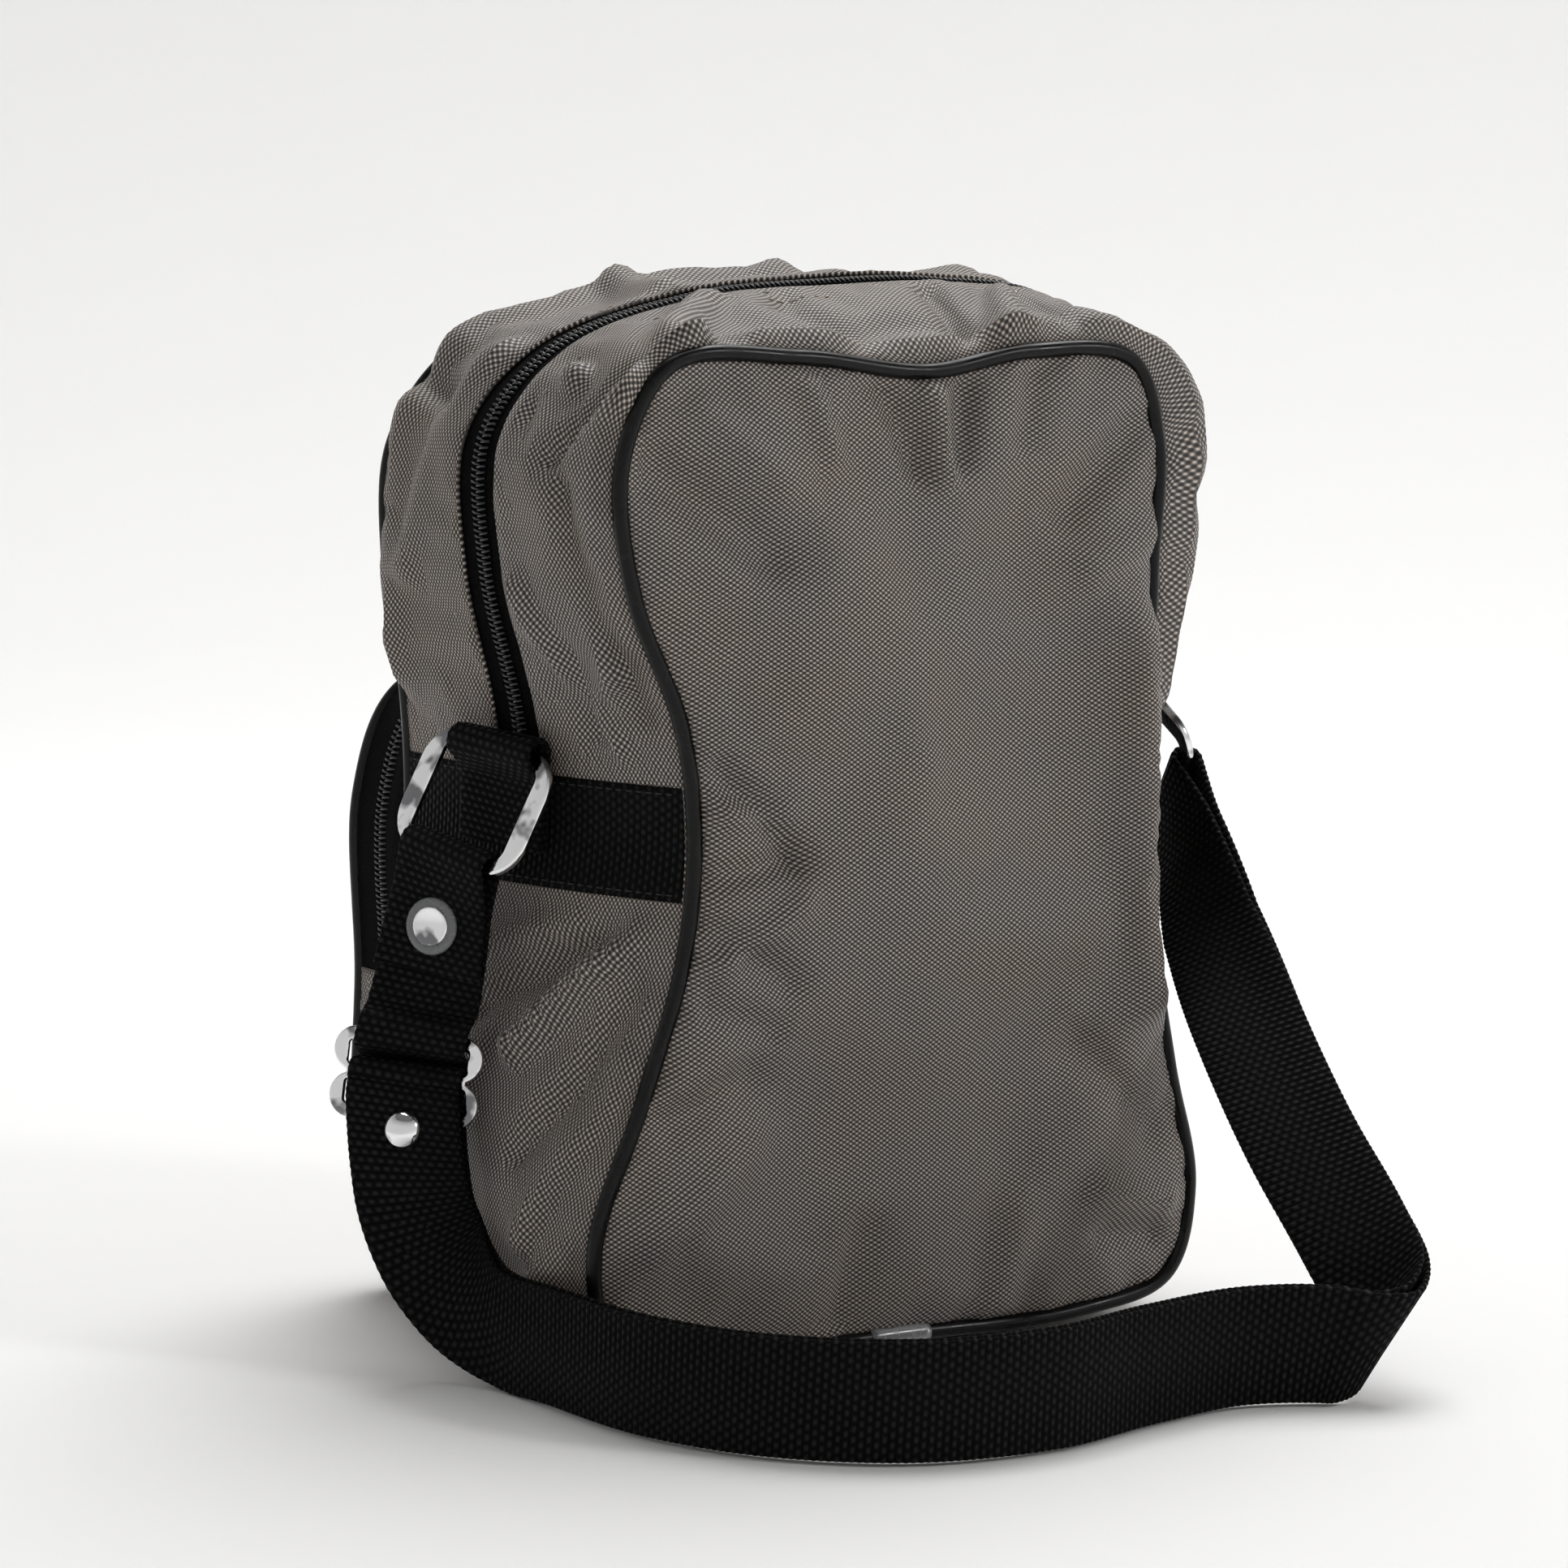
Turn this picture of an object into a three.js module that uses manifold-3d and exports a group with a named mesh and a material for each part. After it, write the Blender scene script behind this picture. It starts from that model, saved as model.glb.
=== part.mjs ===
// Small zipped shoulder bag with a front pocket, standing upright, its webbing strap laid on the floor
// behind it.
// Millimetres. X runs across the back panel, Y from the back panel to the pocket, Z up.
// The origin is on the floor under the middle of the bag.

import * as THREE from 'three';
import { mergeVertices } from 'three/addons/utils/BufferGeometryUtils.js';
import Module from 'manifold-3d';

const wasm = await Module();
wasm.setup();

// ---- Driving dimensions ----
const halfDepth = 55;            // middle of the bag to the plane of its back or front piping
const fabric = 1.5;              // thickness of the fabric walls
const gap = 0.35;                // clearance between pieces that touch
const pipingRadius = 2.1;
const panelCrown = 9;            // how far the back panel bulges out
const tapeHalfWidth = 6;         // main zip: middle to the edge of the fabric strips
const coilHalfWidth = 2.6;
const coilHeight = 2.2;
const webbingWidth = 30;
const webbingThickness = 1.5;
const layerPitch = 3.0;          // distance between the middles of the strap's two layers
const ringBar = 4.5;             // width of the ring's flat bar
const ringPlate = 2.4;           // thickness of the ring's plate
const ringOpening = { width: 34, height: 26 };
const tabTilt = THREE.MathUtils.degToRad(17);   // the tabs face a little towards the back
const ringSwing = THREE.MathUtils.degToRad(25); // the rings hang this far out from vertical
const tabLoopRadius = 3.1;       // inside radius of the tab's loop
const pocketBack = halfDepth + pipingRadius + 2 * gap;

// ---- Colours ----
const paint = (color, roughness, metalness = 0) => ({ color, roughness, metalness });
const taupeNylon = paint(0x6a625c, 0.75);
const blackWebbing = paint(0x111112, 0.7);
const blackTape = paint(0x141414, 0.9);
const blackCoil = paint(0x0c0c0d, 0.45);
const blackVinyl = paint(0x0e0e0f, 0.3);
const chrome = paint(0xd8dadb, 0.12, 1);
const smokePlastic = paint(0x4a4c4e, 0.35);

// ---- Outlines, as [x, z] stations running from the bottom centre up the left side and round ----
const backOutline = [
  [0, 6], [-60, 7], [-86, 14], [-91, 38], [-77, 75], [-65, 110], [-61.5, 140], [-65, 170],
  [-79, 205], [-82, 238], [-68, 262], [-30, 263], [8, 258.5], [40, 263], [72, 260], [80.5, 238],
  [79, 205], [78, 170], [78, 140], [79, 110], [86, 70], [93, 36], [86, 13], [58, 6],
];
const middleOutline = [
  [0, -3], [-62, -2], [-90, 10], [-98, 40], [-92, 78], [-84, 110], [-80, 140], [-83, 170],
  [-92, 208], [-92, 242], [-72, 264], [-30, 277], [8, 280], [45, 280], [82, 273], [101, 240],
  [99.5, 205], [97, 170], [95, 140], [95, 110], [97, 74], [98, 38], [90, 10], [60, -2],
];
const frontOutline = [
  [0, 5], [-60, 6], [-84, 12], [-90, 38], [-92, 76], [-89, 110], [-86, 140], [-87, 170],
  [-92, 205], [-90, 238], [-70, 262], [-30, 268], [8, 272], [42, 276], [78, 272], [88, 240],
  [88, 205], [87, 170], [86, 140], [87, 110], [90, 74], [91, 36], [84, 12], [58, 6],
];
const leftSeam = 6;              // station of the seam between the zipped and the lower gusset, on the left
const rightSeam = 18;
const bandReach = 0.5;           // stations from the seam to the side band's edges

// Half of the pocket's outline, bottom centre to top centre; the other half mirrors it.
const pocketHalf = [
  [0, 8], [52, 9], [78, 18], [85, 45], [84, 90], [84, 140], [73, 166], [46, 176], [0, 179],
];
const pocketOutline = [
  ...pocketHalf.map(([x, z]) => [-x, z]),
  ...pocketHalf.slice(1, -1).reverse(),
];
const pocketZipStart = 4;        // station where the pocket's zip ends on the left
const pocketZipEnd = 12;

const toCurve = (outline) => new THREE.CatmullRomCurve3(
  outline.map(([x, z]) => new THREE.Vector3(x, 0, z)), true, 'centripetal');

// ---- Helpers ----
const bag = new THREE.Group();

function addPiece(name, geometry, look, parent = bag) {
  const mesh = new THREE.Mesh(geometry, new THREE.MeshStandardMaterial(look));
  mesh.name = name;
  parent.add(mesh);
  return mesh;
}

// A closed mesh from rows of points. Each row is a closed section; the first and last rows are capped.
function loftGeometry(sections) {
  const count = sections[0].length;
  const positions = sections.flat().flatMap((p) => [p.x, p.y, p.z]);
  const index = [];
  for (let row = 0; row < sections.length - 1; row += 1) {
    for (let k = 0; k < count; k += 1) {
      const a = row * count + k;
      const b = row * count + ((k + 1) % count);
      index.push(a, b, a + count, b, b + count, a + count);
    }
  }
  // Each cap runs across from one side of its section to the other, so that a bent section stays whole.
  const last = (sections.length - 1) * count;
  for (let a = 0, b = count - 1; a + 1 < b; a += 1, b -= 1) {
    index.push(a, b, a + 1);
    index.push(last + a, last + a + 1, last + b);
    if (a + 2 < b) {
      index.push(a + 1, b, b - 1);
      index.push(last + a + 1, last + b - 1, last + b);
    }
  }
  const geometry = new THREE.BufferGeometry();
  geometry.setAttribute('position', new THREE.Float32BufferAttribute(positions, 3));
  geometry.setIndex(index);
  return facingOut(geometry);
}

// Turns every triangle round if the closed mesh is inside out.
function facingOut(geometry) {
  const p = geometry.getAttribute('position');
  const index = geometry.getIndex().array;
  const corner = [new THREE.Vector3(), new THREE.Vector3(), new THREE.Vector3()];
  let volume = 0;
  for (let k = 0; k < index.length; k += 3) {
    corner.forEach((c, j) => c.fromBufferAttribute(p, index[k + j]));
    volume += corner[0].dot(corner[1].clone().cross(corner[2]));
  }
  if (volume < 0) {
    for (let k = 0; k < index.length; k += 3) {
      [index[k], index[k + 1]] = [index[k + 1], index[k]];
    }
  }
  return geometry;
}

function toSolid(geometry) {
  const bare = geometry.clone();
  bare.deleteAttribute('normal');
  bare.deleteAttribute('uv');
  const merged = mergeVertices(bare, 1e-4);
  return new wasm.Manifold(new wasm.Mesh({
    numProp: 3,
    vertProperties: new Float32Array(merged.getAttribute('position').array),
    triVerts: new Uint32Array(merged.getIndex().array),
  }));
}

function fromSolid(solid) {
  const mesh = solid.getMesh();
  const geometry = new THREE.BufferGeometry();
  geometry.setAttribute('position', new THREE.BufferAttribute(mesh.vertProperties, 3));
  geometry.setIndex(new THREE.BufferAttribute(mesh.triVerts, 1));
  return geometry;
}

// ---- Walls that follow the outlines ----
// A wall surface gives the point at station u and depth y, and the direction out of the bag there.
// It is cut off flat at the floor.
function gussetSurface(curves, backY, frontY) {
  const stations = curves[0].points.length;
  return (u, y) => {
    const t = (u / stations) % 1;
    const v = (2 * (y - backY)) / (frontY - backY) - 1;
    const [back, middle, front] = curves.map((curve) => curve.getPoint(t));
    const point = back.multiplyScalar((v * v - v) / 2)
      .add(middle.multiplyScalar(1 - v * v))
      .add(front.multiplyScalar((v * v + v) / 2));
    point.y = y;
    point.z = Math.max(point.z, 0);
    const along = curves[1].getTangent(t);
    return { point, out: new THREE.Vector3(-along.z, 0, along.x) };
  };
}

// The values from start to end that lie on a shared grid, with both ends, so that layers line up.
function gridBetween(start, end, step) {
  const values = [start];
  for (let k = Math.floor(start / step) + 1; k * step < end - step / 10; k += 1) {
    if (k * step > start + step / 10) values.push(k * step);
  }
  return [...values, end];
}

// A curved slab between stations u0 and u1 and between depths y0 and y1, raised above the surface
// from height low to height high.
function wallGeometry(surface, { u0, u1, y0, y1, low, high }) {
  const depths = gridBetween(y0, y1, halfDepth / 3);
  // Sections run backwards round the bag, so that the faces point outwards.
  const sections = gridBetween(u0, u1, 1 / 4).reverse().map((u) => {
    const outer = [];
    const inner = [];
    for (const y of depths) {
      const { point, out } = surface(u, y);
      outer.push(point.clone().addScaledVector(out, high));
      inner.unshift(point.clone().addScaledVector(out, low));
    }
    return [...outer, ...inner];
  });
  return loftGeometry(sections);
}

// A thin panel that fills an outline and bulges by crown towards side (-1 for the back, +1 for the front).
function panelGeometry(curve, planeY, crown, side, centreHeight = 130) {
  const around = 56;
  const rings = 3;
  const margin = pipingRadius + 2 * gap;
  const rim = Array.from({ length: around }, (_, k) => {
    const along = curve.getTangentAt(k / around);
    const inward = new THREE.Vector3(along.z, 0, -along.x);
    return curve.getPointAt(k / around).addScaledVector(inward, margin);
  });
  const centre = new THREE.Vector3(0, 0, centreHeight);
  const positions = [];
  const index = [];
  for (const skin of [0, 1]) {
    for (let ring = 0; ring < rings; ring += 1) {
      const inward = ring / rings;
      for (const p of rim) {
        const q = p.clone().lerp(centre, inward);
        const bulge = crown * (1 - (1 - inward) ** 3);
        positions.push(q.x, planeY + side * (bulge + (skin - 0.5) * fabric), q.z);
      }
    }
    positions.push(centre.x, planeY + side * (crown + (skin - 0.5) * fabric), centre.z);
  }
  const perSkin = around * rings + 1;
  for (const skin of [0, 1]) {
    const start = skin * perSkin;
    const add = (a, b, c) => (skin ? index.push(a, b, c) : index.push(a, c, b));
    for (let k = 0; k < around; k += 1) {
      const next = (k + 1) % around;
      for (let ring = 0; ring < rings - 1; ring += 1) {
        const a = start + ring * around;
        add(a + k, a + next, a + around + k);
        add(a + next, a + around + next, a + around + k);
      }
      const inner = start + (rings - 1) * around;
      add(inner + k, inner + next, start + perSkin - 1);
    }
  }
  for (let k = 0; k < around; k += 1) {
    const next = (k + 1) % around;
    index.push(k, next, perSkin + k, next, perSkin + next, perSkin + k);
  }
  const geometry = new THREE.BufferGeometry();
  geometry.setAttribute('position', new THREE.Float32BufferAttribute(positions, 3));
  geometry.setIndex(index);
  return facingOut(geometry);
}

// Piping runs round an outline from one side of its joint at the bottom to the other.
function pipingGeometry(curve, planeY, jointHalf) {
  const points = curve.getSpacedPoints(56).slice(0, 56);
  const run = points.map((p) => new THREE.Vector3(p.x, planeY, p.z));
  const bottom = run[0].z;
  const path = new THREE.CatmullRomCurve3([
    new THREE.Vector3(-jointHalf, planeY, bottom),
    ...run.slice(1),
    new THREE.Vector3(jointHalf, planeY, bottom),
  ]);
  const section = new THREE.Shape();
  section.absarc(0, 0, pipingRadius, 0, 2 * Math.PI);
  const geometry = new THREE.ExtrudeGeometry(section, { extrudePath: path, steps: 84, curveSegments: 3 });
  geometry.deleteAttribute('normal');
  geometry.deleteAttribute('uv');
  return mergeVertices(geometry, 1e-4);
}

function addPiping(name, outline, planeY) {
  const jointHalf = 9;
  const curve = toCurve(outline);
  addPiece(name, pipingGeometry(curve, planeY, jointHalf + gap), blackVinyl);
  const sleeve = new THREE.CylinderGeometry(pipingRadius + 0.5, pipingRadius + 0.5, 2 * jointHalf, 16);
  sleeve.rotateZ(Math.PI / 2);
  sleeve.translate(0, planeY, outline[0][1]);
  addPiece(`${name}_joint`, sleeve, smokePlastic);
}

// ---- Body of the bag ----
const bodySurface = gussetSurface(
  [backOutline, middleOutline, frontOutline].map(toCurve), -halfDepth, halfDepth);
const pipingClear = pipingRadius + 2 * gap;
const bodyEdge = halfDepth - pipingClear;        // depth where the gusset meets the piping
const coilClear = coilHalfWidth + gap;
const seamGap = 0.02;                            // in stations

function addBody() {
  addPiece('back_panel', panelGeometry(toCurve(backOutline), -halfDepth, panelCrown, -1), taupeNylon);
  addPiece('front_panel', panelGeometry(toCurve(frontOutline), halfDepth, 0, 1), taupeNylon);
  const upper = { u0: leftSeam + seamGap, u1: rightSeam - seamGap, low: -fabric, high: 0 };
  const stripEdge = tapeHalfWidth + gap;
  addPiece('gusset_top_rear',
    wallGeometry(bodySurface, { ...upper, y0: -bodyEdge, y1: -stripEdge }), taupeNylon);
  addPiece('gusset_top_front',
    wallGeometry(bodySurface, { ...upper, y0: stripEdge, y1: bodyEdge }), taupeNylon);
  const lower = { u0: rightSeam + seamGap, u1: leftSeam + 24 - seamGap, low: -fabric, high: 0 };
  addPiece('gusset_lower',
    wallGeometry(bodySurface, { ...lower, y0: -bodyEdge, y1: bodyEdge }), taupeNylon);
  addPiping('piping_back', backOutline, -halfDepth);
  addPiping('piping_front', frontOutline, halfDepth);
}

function addMainZip() {
  const run = { u0: leftSeam + seamGap, u1: rightSeam - seamGap, low: -0.8, high: 0 };
  addPiece('main_zip_tape_rear',
    wallGeometry(bodySurface, { ...run, y0: -tapeHalfWidth, y1: -coilClear }), blackTape);
  addPiece('main_zip_tape_front',
    wallGeometry(bodySurface, { ...run, y0: coilClear, y1: tapeHalfWidth }), blackTape);
  const coil = { u0: leftSeam + bandReach + seamGap, u1: rightSeam - bandReach - seamGap };
  addPiece('main_zip_coil', wallGeometry(bodySurface,
    { ...coil, y0: -coilHalfWidth, y1: coilHalfWidth, low: -0.8, high: coilHeight - 0.8 }), blackCoil);
}

function addSideBands() {
  const band = { y0: -bodyEdge, y1: bodyEdge, low: gap, high: gap + webbingThickness };
  for (const [word, seam] of [['left', leftSeam], ['right', rightSeam]]) {
    addPiece(`side_band_${word}`,
      wallGeometry(bodySurface, { ...band, u0: seam - bandReach, u1: seam + bandReach }), blackWebbing);
  }
}

// ---- Front pocket ----
const pocketPlane = 90;                          // plane of the pocket's piping
const pocketZipY = 74;

const pocketCurve = toCurve(pocketOutline);
const pocketSurface = gussetSurface([pocketCurve, pocketCurve, pocketCurve], pocketBack, pocketPlane);

function addPocket() {
  const front = pocketPlane - pipingClear;
  addPiece('pocket_front_panel', panelGeometry(pocketCurve, pocketPlane, 5, 1, 90), taupeNylon);
  addPiping('pocket_piping', pocketOutline, pocketPlane);
  const lower = { u0: pocketZipEnd + seamGap, u1: pocketZipStart + pocketOutline.length - seamGap };
  addPiece('pocket_gusset_lower',
    wallGeometry(pocketSurface, { ...lower, y0: pocketBack, y1: front, low: -fabric, high: 0 }), taupeNylon);
  const upper = { u0: pocketZipStart + seamGap, u1: pocketZipEnd - seamGap, low: -fabric, high: 0 };
  addPiece('pocket_zip_tape_rear',
    wallGeometry(pocketSurface, { ...upper, y0: pocketBack, y1: pocketZipY - coilClear }), blackTape);
  addPiece('pocket_zip_tape_front',
    wallGeometry(pocketSurface, { ...upper, y0: pocketZipY + coilClear, y1: front }), blackTape);
  addPiece('pocket_zip_coil', wallGeometry(pocketSurface,
    { ...upper, y0: pocketZipY - coilHalfWidth, y1: pocketZipY + coilHalfWidth, high: 1.2 }), blackCoil);
}

// ---- Ring tabs and rings ----
// Each tab has its own frame at the middle of its loop: X along the fold, Y up, Z out from the gusset.
const loopOuter = tabLoopRadius + webbingThickness;
const tabLength = 26;

function tabGeometry() {
  const shape = new THREE.Shape();
  const backFace = -loopOuter;
  const frontFace = -loopOuter + 2 * webbingThickness;
  const meet = Math.asin(-frontFace / loopOuter);
  shape.moveTo(backFace, 0);
  shape.lineTo(backFace, -tabLength);
  shape.lineTo(frontFace, -tabLength);
  shape.lineTo(frontFace, -loopOuter * Math.cos(meet));
  shape.absarc(0, 0, loopOuter, -Math.PI / 2 - meet, Math.PI, false);
  const hole = new THREE.Path();
  hole.absarc(0, 0, tabLoopRadius, 0, 2 * Math.PI);
  shape.holes.push(hole);
  const geometry = new THREE.ExtrudeGeometry(shape,
    { depth: webbingWidth, bevelEnabled: false, curveSegments: 20 });
  geometry.translate(0, 0, -webbingWidth / 2);
  geometry.rotateY(-Math.PI / 2);
  return geometry;
}

function roundedRectangle(width, height, radius, kind = THREE.Shape) {
  const x = width / 2 - radius;
  const y = height / 2 - radius;
  const outline = new kind();
  outline.moveTo(width / 2, -y);
  outline.absarc(x, y, radius, 0, Math.PI / 2);
  outline.absarc(-x, y, radius, Math.PI / 2, Math.PI);
  outline.absarc(-x, -y, radius, Math.PI, 1.5 * Math.PI);
  outline.absarc(x, -y, radius, 1.5 * Math.PI, 2 * Math.PI);
  return outline;
}

function ringGeometry() {
  const { width, height } = ringOpening;
  const shape = roundedRectangle(width + 2 * ringBar, height + 2 * ringBar, 8);
  shape.holes.push(roundedRectangle(width, height, 3.5, THREE.Path));
  const geometry = new THREE.ExtrudeGeometry(shape,
    { depth: ringPlate, bevelEnabled: false, curveSegments: 6 });
  geometry.translate(0, -(height + ringBar) / 2, -ringPlate / 2);
  return geometry;
}

// Directions of a tab: out of the gusset, up along the tab and along its fold.
// side is -1 for the left tab and +1 for the right one. A slanted tab leans with the pull of the strap.
function tabBasis(side, slant) {
  const out = new THREE.Vector3(side * Math.cos(tabTilt), -Math.sin(tabTilt), 0);
  const level = new THREE.Vector3(0, 0, 1).cross(out);
  const up = new THREE.Vector3(0, 0, Math.cos(slant)).addScaledVector(level, Math.sin(slant));
  return { out, up, along: up.clone().cross(out) };
}

const tabs = {
  left: { hinge: new THREE.Vector3(-89, -1, 161.5), ...tabBasis(-1, THREE.MathUtils.degToRad(10)) },
  right: { hinge: new THREE.Vector3(108, 6, 158), ...tabBasis(1, THREE.MathUtils.degToRad(45)) },
};

function addTabsAndRings() {
  for (const [word, { hinge, out, up, along }] of Object.entries(tabs)) {
    const frame = new THREE.Group();
    frame.setRotationFromMatrix(new THREE.Matrix4().makeBasis(along, up, out));
    frame.position.copy(hinge);
    bag.add(frame);
    addPiece(`ring_tab_${word}`, tabGeometry(), blackWebbing, frame);
    const swing = new THREE.Group();
    swing.rotation.x = -ringSwing;
    frame.add(swing);
    addPiece(`ring_${word}`, ringGeometry(), chrome, swing);
  }
}

// ---- Strap ----
// Centre of the strap, then the direction across its width. It runs from the left ring's lower bar down
// to the floor, round behind the bag standing on its edge, folds over and climbs to the right ring.
const strapRoute = [
  [-104, 2, 117, 0.62, -0.75, -0.22],
  [-109, 3.5, 97, 0.7, -0.7, -0.12],
  [-113.5, 5, 76, 0.74, -0.67, -0.08],
  [-115.5, 0, 57, 0.77, -0.64, -0.02],
  [-115, -6, 39, 0.78, -0.52, 0.3],
  [-110, -17, 23, 0.45, -0.25, 0.86],
  [-106, -34, 16, 0.05, 0, 1],
  [-104, -56, 16, 0, 0, 1],
  [-99, -96, 16, 0, 0, 1],
  [-83, -129, 16, 0, 0, 1],
  [-55, -152, 16, 0, 0, 1],
  [-20, -158, 16, 0, 0, 1],
  [14, -150, 16, 0, 0, 1],
  [44, -146, 16, 0.05, 0, 1],
  [61, -152, 16, 0.1, 0, 1],
  [76, -160, 16.5, 0.3, -0.15, 0.92],
  [86, -153, 24, 0.5, -0.3, 0.8],
  [87, -136, 39, 0.75, -0.4, 0.5],
  [88, -112, 59, 0.8, -0.48, 0.36],
  [93, -84, 81, 0.78, -0.52, 0.36],
  [103, -50, 106, 0.4, -0.75, 0.5],
];
const routeLegEnd = 1;           // station where the strap's left end meets its long layers
const adjusterStation = 2;

const stationCurve = (first) => new THREE.CatmullRomCurve3(
  strapRoute.map((station) => new THREE.Vector3(...station.slice(first, first + 3))));
const routeCentres = stationCurve(0);
const routeAcross = stationCurve(3);
const routeLength = routeCentres.getLength();

function distanceOfStation(station) {
  const perStation = 40;
  const lengths = routeCentres.getLengths(perStation * (strapRoute.length - 1));
  return lengths[station * perStation];
}

// The strap's frame at a distance along its route: normal points to the side that faces away from the bag.
function routeFrame(distance) {
  const t = routeCentres.getUtoTmapping(0, distance);
  const along = routeCentres.getTangent(t);
  const across = routeAcross.getPoint(t).normalize();
  const normal = new THREE.Vector3().crossVectors(along, across).normalize();
  return { centre: routeCentres.getPoint(t), across, normal };
}

// A ribbon of webbing through a list of sections, each with a centre, an across and a normal direction.
function ribbonGeometry(frames, thickness = webbingThickness) {
  return loftGeometry(frames.map(({ centre, across, normal }) => {
    const corner = (a, n) => centre.clone()
      .addScaledVector(across, (a * webbingWidth) / 2)
      .addScaledVector(normal, (n * thickness) / 2);
    return [corner(1, 1), corner(-1, 1), corner(-1, -1), corner(1, -1)];
  }));
}

function shifted(frame, offset) {
  return { ...frame, centre: frame.centre.clone().addScaledVector(frame.normal, offset) };
}

// Sections along a path drawn beside the strap: each point is [distance along the route, height above it].
function pathFrames(path) {
  const frames = path.map(([distance, height]) => shifted(routeFrame(distance), height));
  return frames.map((frame, k) => {
    const before = frames[Math.max(k - 1, 0)].centre;
    const after = frames[Math.min(k + 1, frames.length - 1)].centre;
    const along = after.clone().sub(before);
    return { ...frame, normal: along.cross(frame.across).normalize() };
  });
}

// Points round a bar of a loop with the given radius, from angle a0 to a1 in quarter turns.
function arcPath(radius, a0, a1, steps) {
  return Array.from({ length: steps + 1 }, (_, k) => {
    const a = THREE.MathUtils.lerp(a0, a1, k / steps) * (Math.PI / 2);
    return [radius * Math.cos(a), radius * Math.sin(a)];
  });
}

const dropLength = ringOpening.height + ringBar;  // ring hinge to the middle of its lower bar
const strapLoopRadius = 3.7;                      // ring bar to the middle of the webbing round it
const halfPitch = layerPitch / 2;

// Frames of the strap between a ring's lower bar (share 0) and the route's frame called target (share 1).
function ringToStrap({ hinge, out, up, along }, alongSign, target) {
  const bar = hinge.clone()
    .addScaledVector(out, dropLength * Math.sin(ringSwing))
    .addScaledVector(up, -dropLength * Math.cos(ringSwing));
  const down = target.centre.clone().sub(bar).normalize();
  const barAcross = along.clone().multiplyScalar(alongSign);
  return (share) => {
    const across = barAcross.clone().lerp(target.across, share).normalize();
    const normal = new THREE.Vector3().crossVectors(down, across).normalize();
    return { centre: bar.clone().lerp(target.centre, share), down, across, normal };
  };
}

// The webbing that turns round a ring's lower bar. Its front leg is as long as frontShare of its back leg.
function ringLoopFrames(frameAt, frontShare) {
  const steps = 12;
  const leg = (sign, reach) => Array.from({ length: steps }, (_, k) => {
    const share = (reach * (k + 1)) / steps;
    const spread = THREE.MathUtils.lerp(strapLoopRadius, halfPitch, Math.min(1, share * 3));
    const frame = shifted(frameAt(share), sign * spread);
    return { ...frame, normal: frame.normal.multiplyScalar(sign) };
  });
  const { centre, down, across, normal } = frameAt(0);
  const turn = arcPath(1, 1, 3, 8).map(([d, h]) => {
    const outward = down.clone().multiplyScalar(d).addScaledVector(normal, h);
    return { centre: centre.clone().addScaledVector(outward, strapLoopRadius), across, normal: outward };
  });
  return [...leg(1, frontShare).reverse(), ...turn, ...leg(-1, 1)];
}

// A rivet or washer turned about the Z axis, from an outline of [radius, height] points.
function turned(points, sides = 20) {
  const profile = points.map(([r, h]) => new THREE.Vector2(r, h));
  return new THREE.LatheGeometry(profile, sides).rotateX(Math.PI / 2);
}

function placed(geometry, frame, height) {
  const x = frame.across.clone();
  const z = frame.normal.clone();
  const y = new THREE.Vector3().crossVectors(z, x);
  const matrix = new THREE.Matrix4().makeBasis(x, y, z)
    .setPosition(frame.centre.clone().addScaledVector(z, height));
  return geometry.clone().applyMatrix4(matrix);
}

function pierced(geometry, frame, radius) {
  const drill = new THREE.CylinderGeometry(radius, radius, 30, 20).rotateX(Math.PI / 2);
  return fromSolid(toSolid(geometry).subtract(toSolid(placed(drill, frame, 0))));
}

const rivetShank = 1.8;
const rivetHead = 5;
const rivetBack = 3.8;
const washerOuter = 7.5;

function rivetGeometry(frontFace, backFace, dome) {
  const crown = dome
    ? [[rivetHead, frontFace + 0.6], [rivetHead * 0.8, frontFace + 1.9], [rivetHead * 0.35, frontFace + 2.6]]
    : [[rivetHead, frontFace + 0.7], [rivetHead - 0.5, frontFace + 1.1]];
  const top = crown[crown.length - 1][1];
  return turned([
    [0, backFace - 1], [rivetBack - 0.5, backFace - 1], [rivetBack, backFace - 0.6], [rivetBack, backFace],
    [rivetShank, backFace], [rivetShank, frontFace], [rivetHead, frontFace], ...crown, [0, top],
  ]);
}

function addStrapEnds() {
  const leftFrames = ringToStrap(tabs.left, 1, routeFrame(distanceOfStation(routeLegEnd)));
  const rivetFrame = leftFrames(0.5);
  const left = ribbonGeometry(ringLoopFrames(leftFrames, 0.82));
  addPiece('strap_left_end', pierced(left, rivetFrame, rivetShank + gap), blackWebbing);
  const face = halfPitch + webbingThickness / 2 + 2 * gap;
  const washer = turned([
    [rivetShank + gap, 0], [washerOuter, 0], [washerOuter, 0.6], [washerOuter - 0.5, 1],
    [rivetShank + gap, 1], [rivetShank + gap, 0]]);
  addPiece('end_washer_outer', placed(washer, rivetFrame, face), smokePlastic);
  addPiece('end_washer_inner', placed(washer, rivetFrame, -face - 1), smokePlastic);
  addPiece('end_rivet', placed(rivetGeometry(face + 1 + gap, -face - 1 - gap, false), rivetFrame, 0), chrome);
  const rightFrames = ringToStrap(tabs.right, -1, routeFrame(routeLength));
  addPiece('strap_right_end', ribbonGeometry(ringLoopFrames(rightFrames, 1)), blackWebbing);
}

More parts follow.
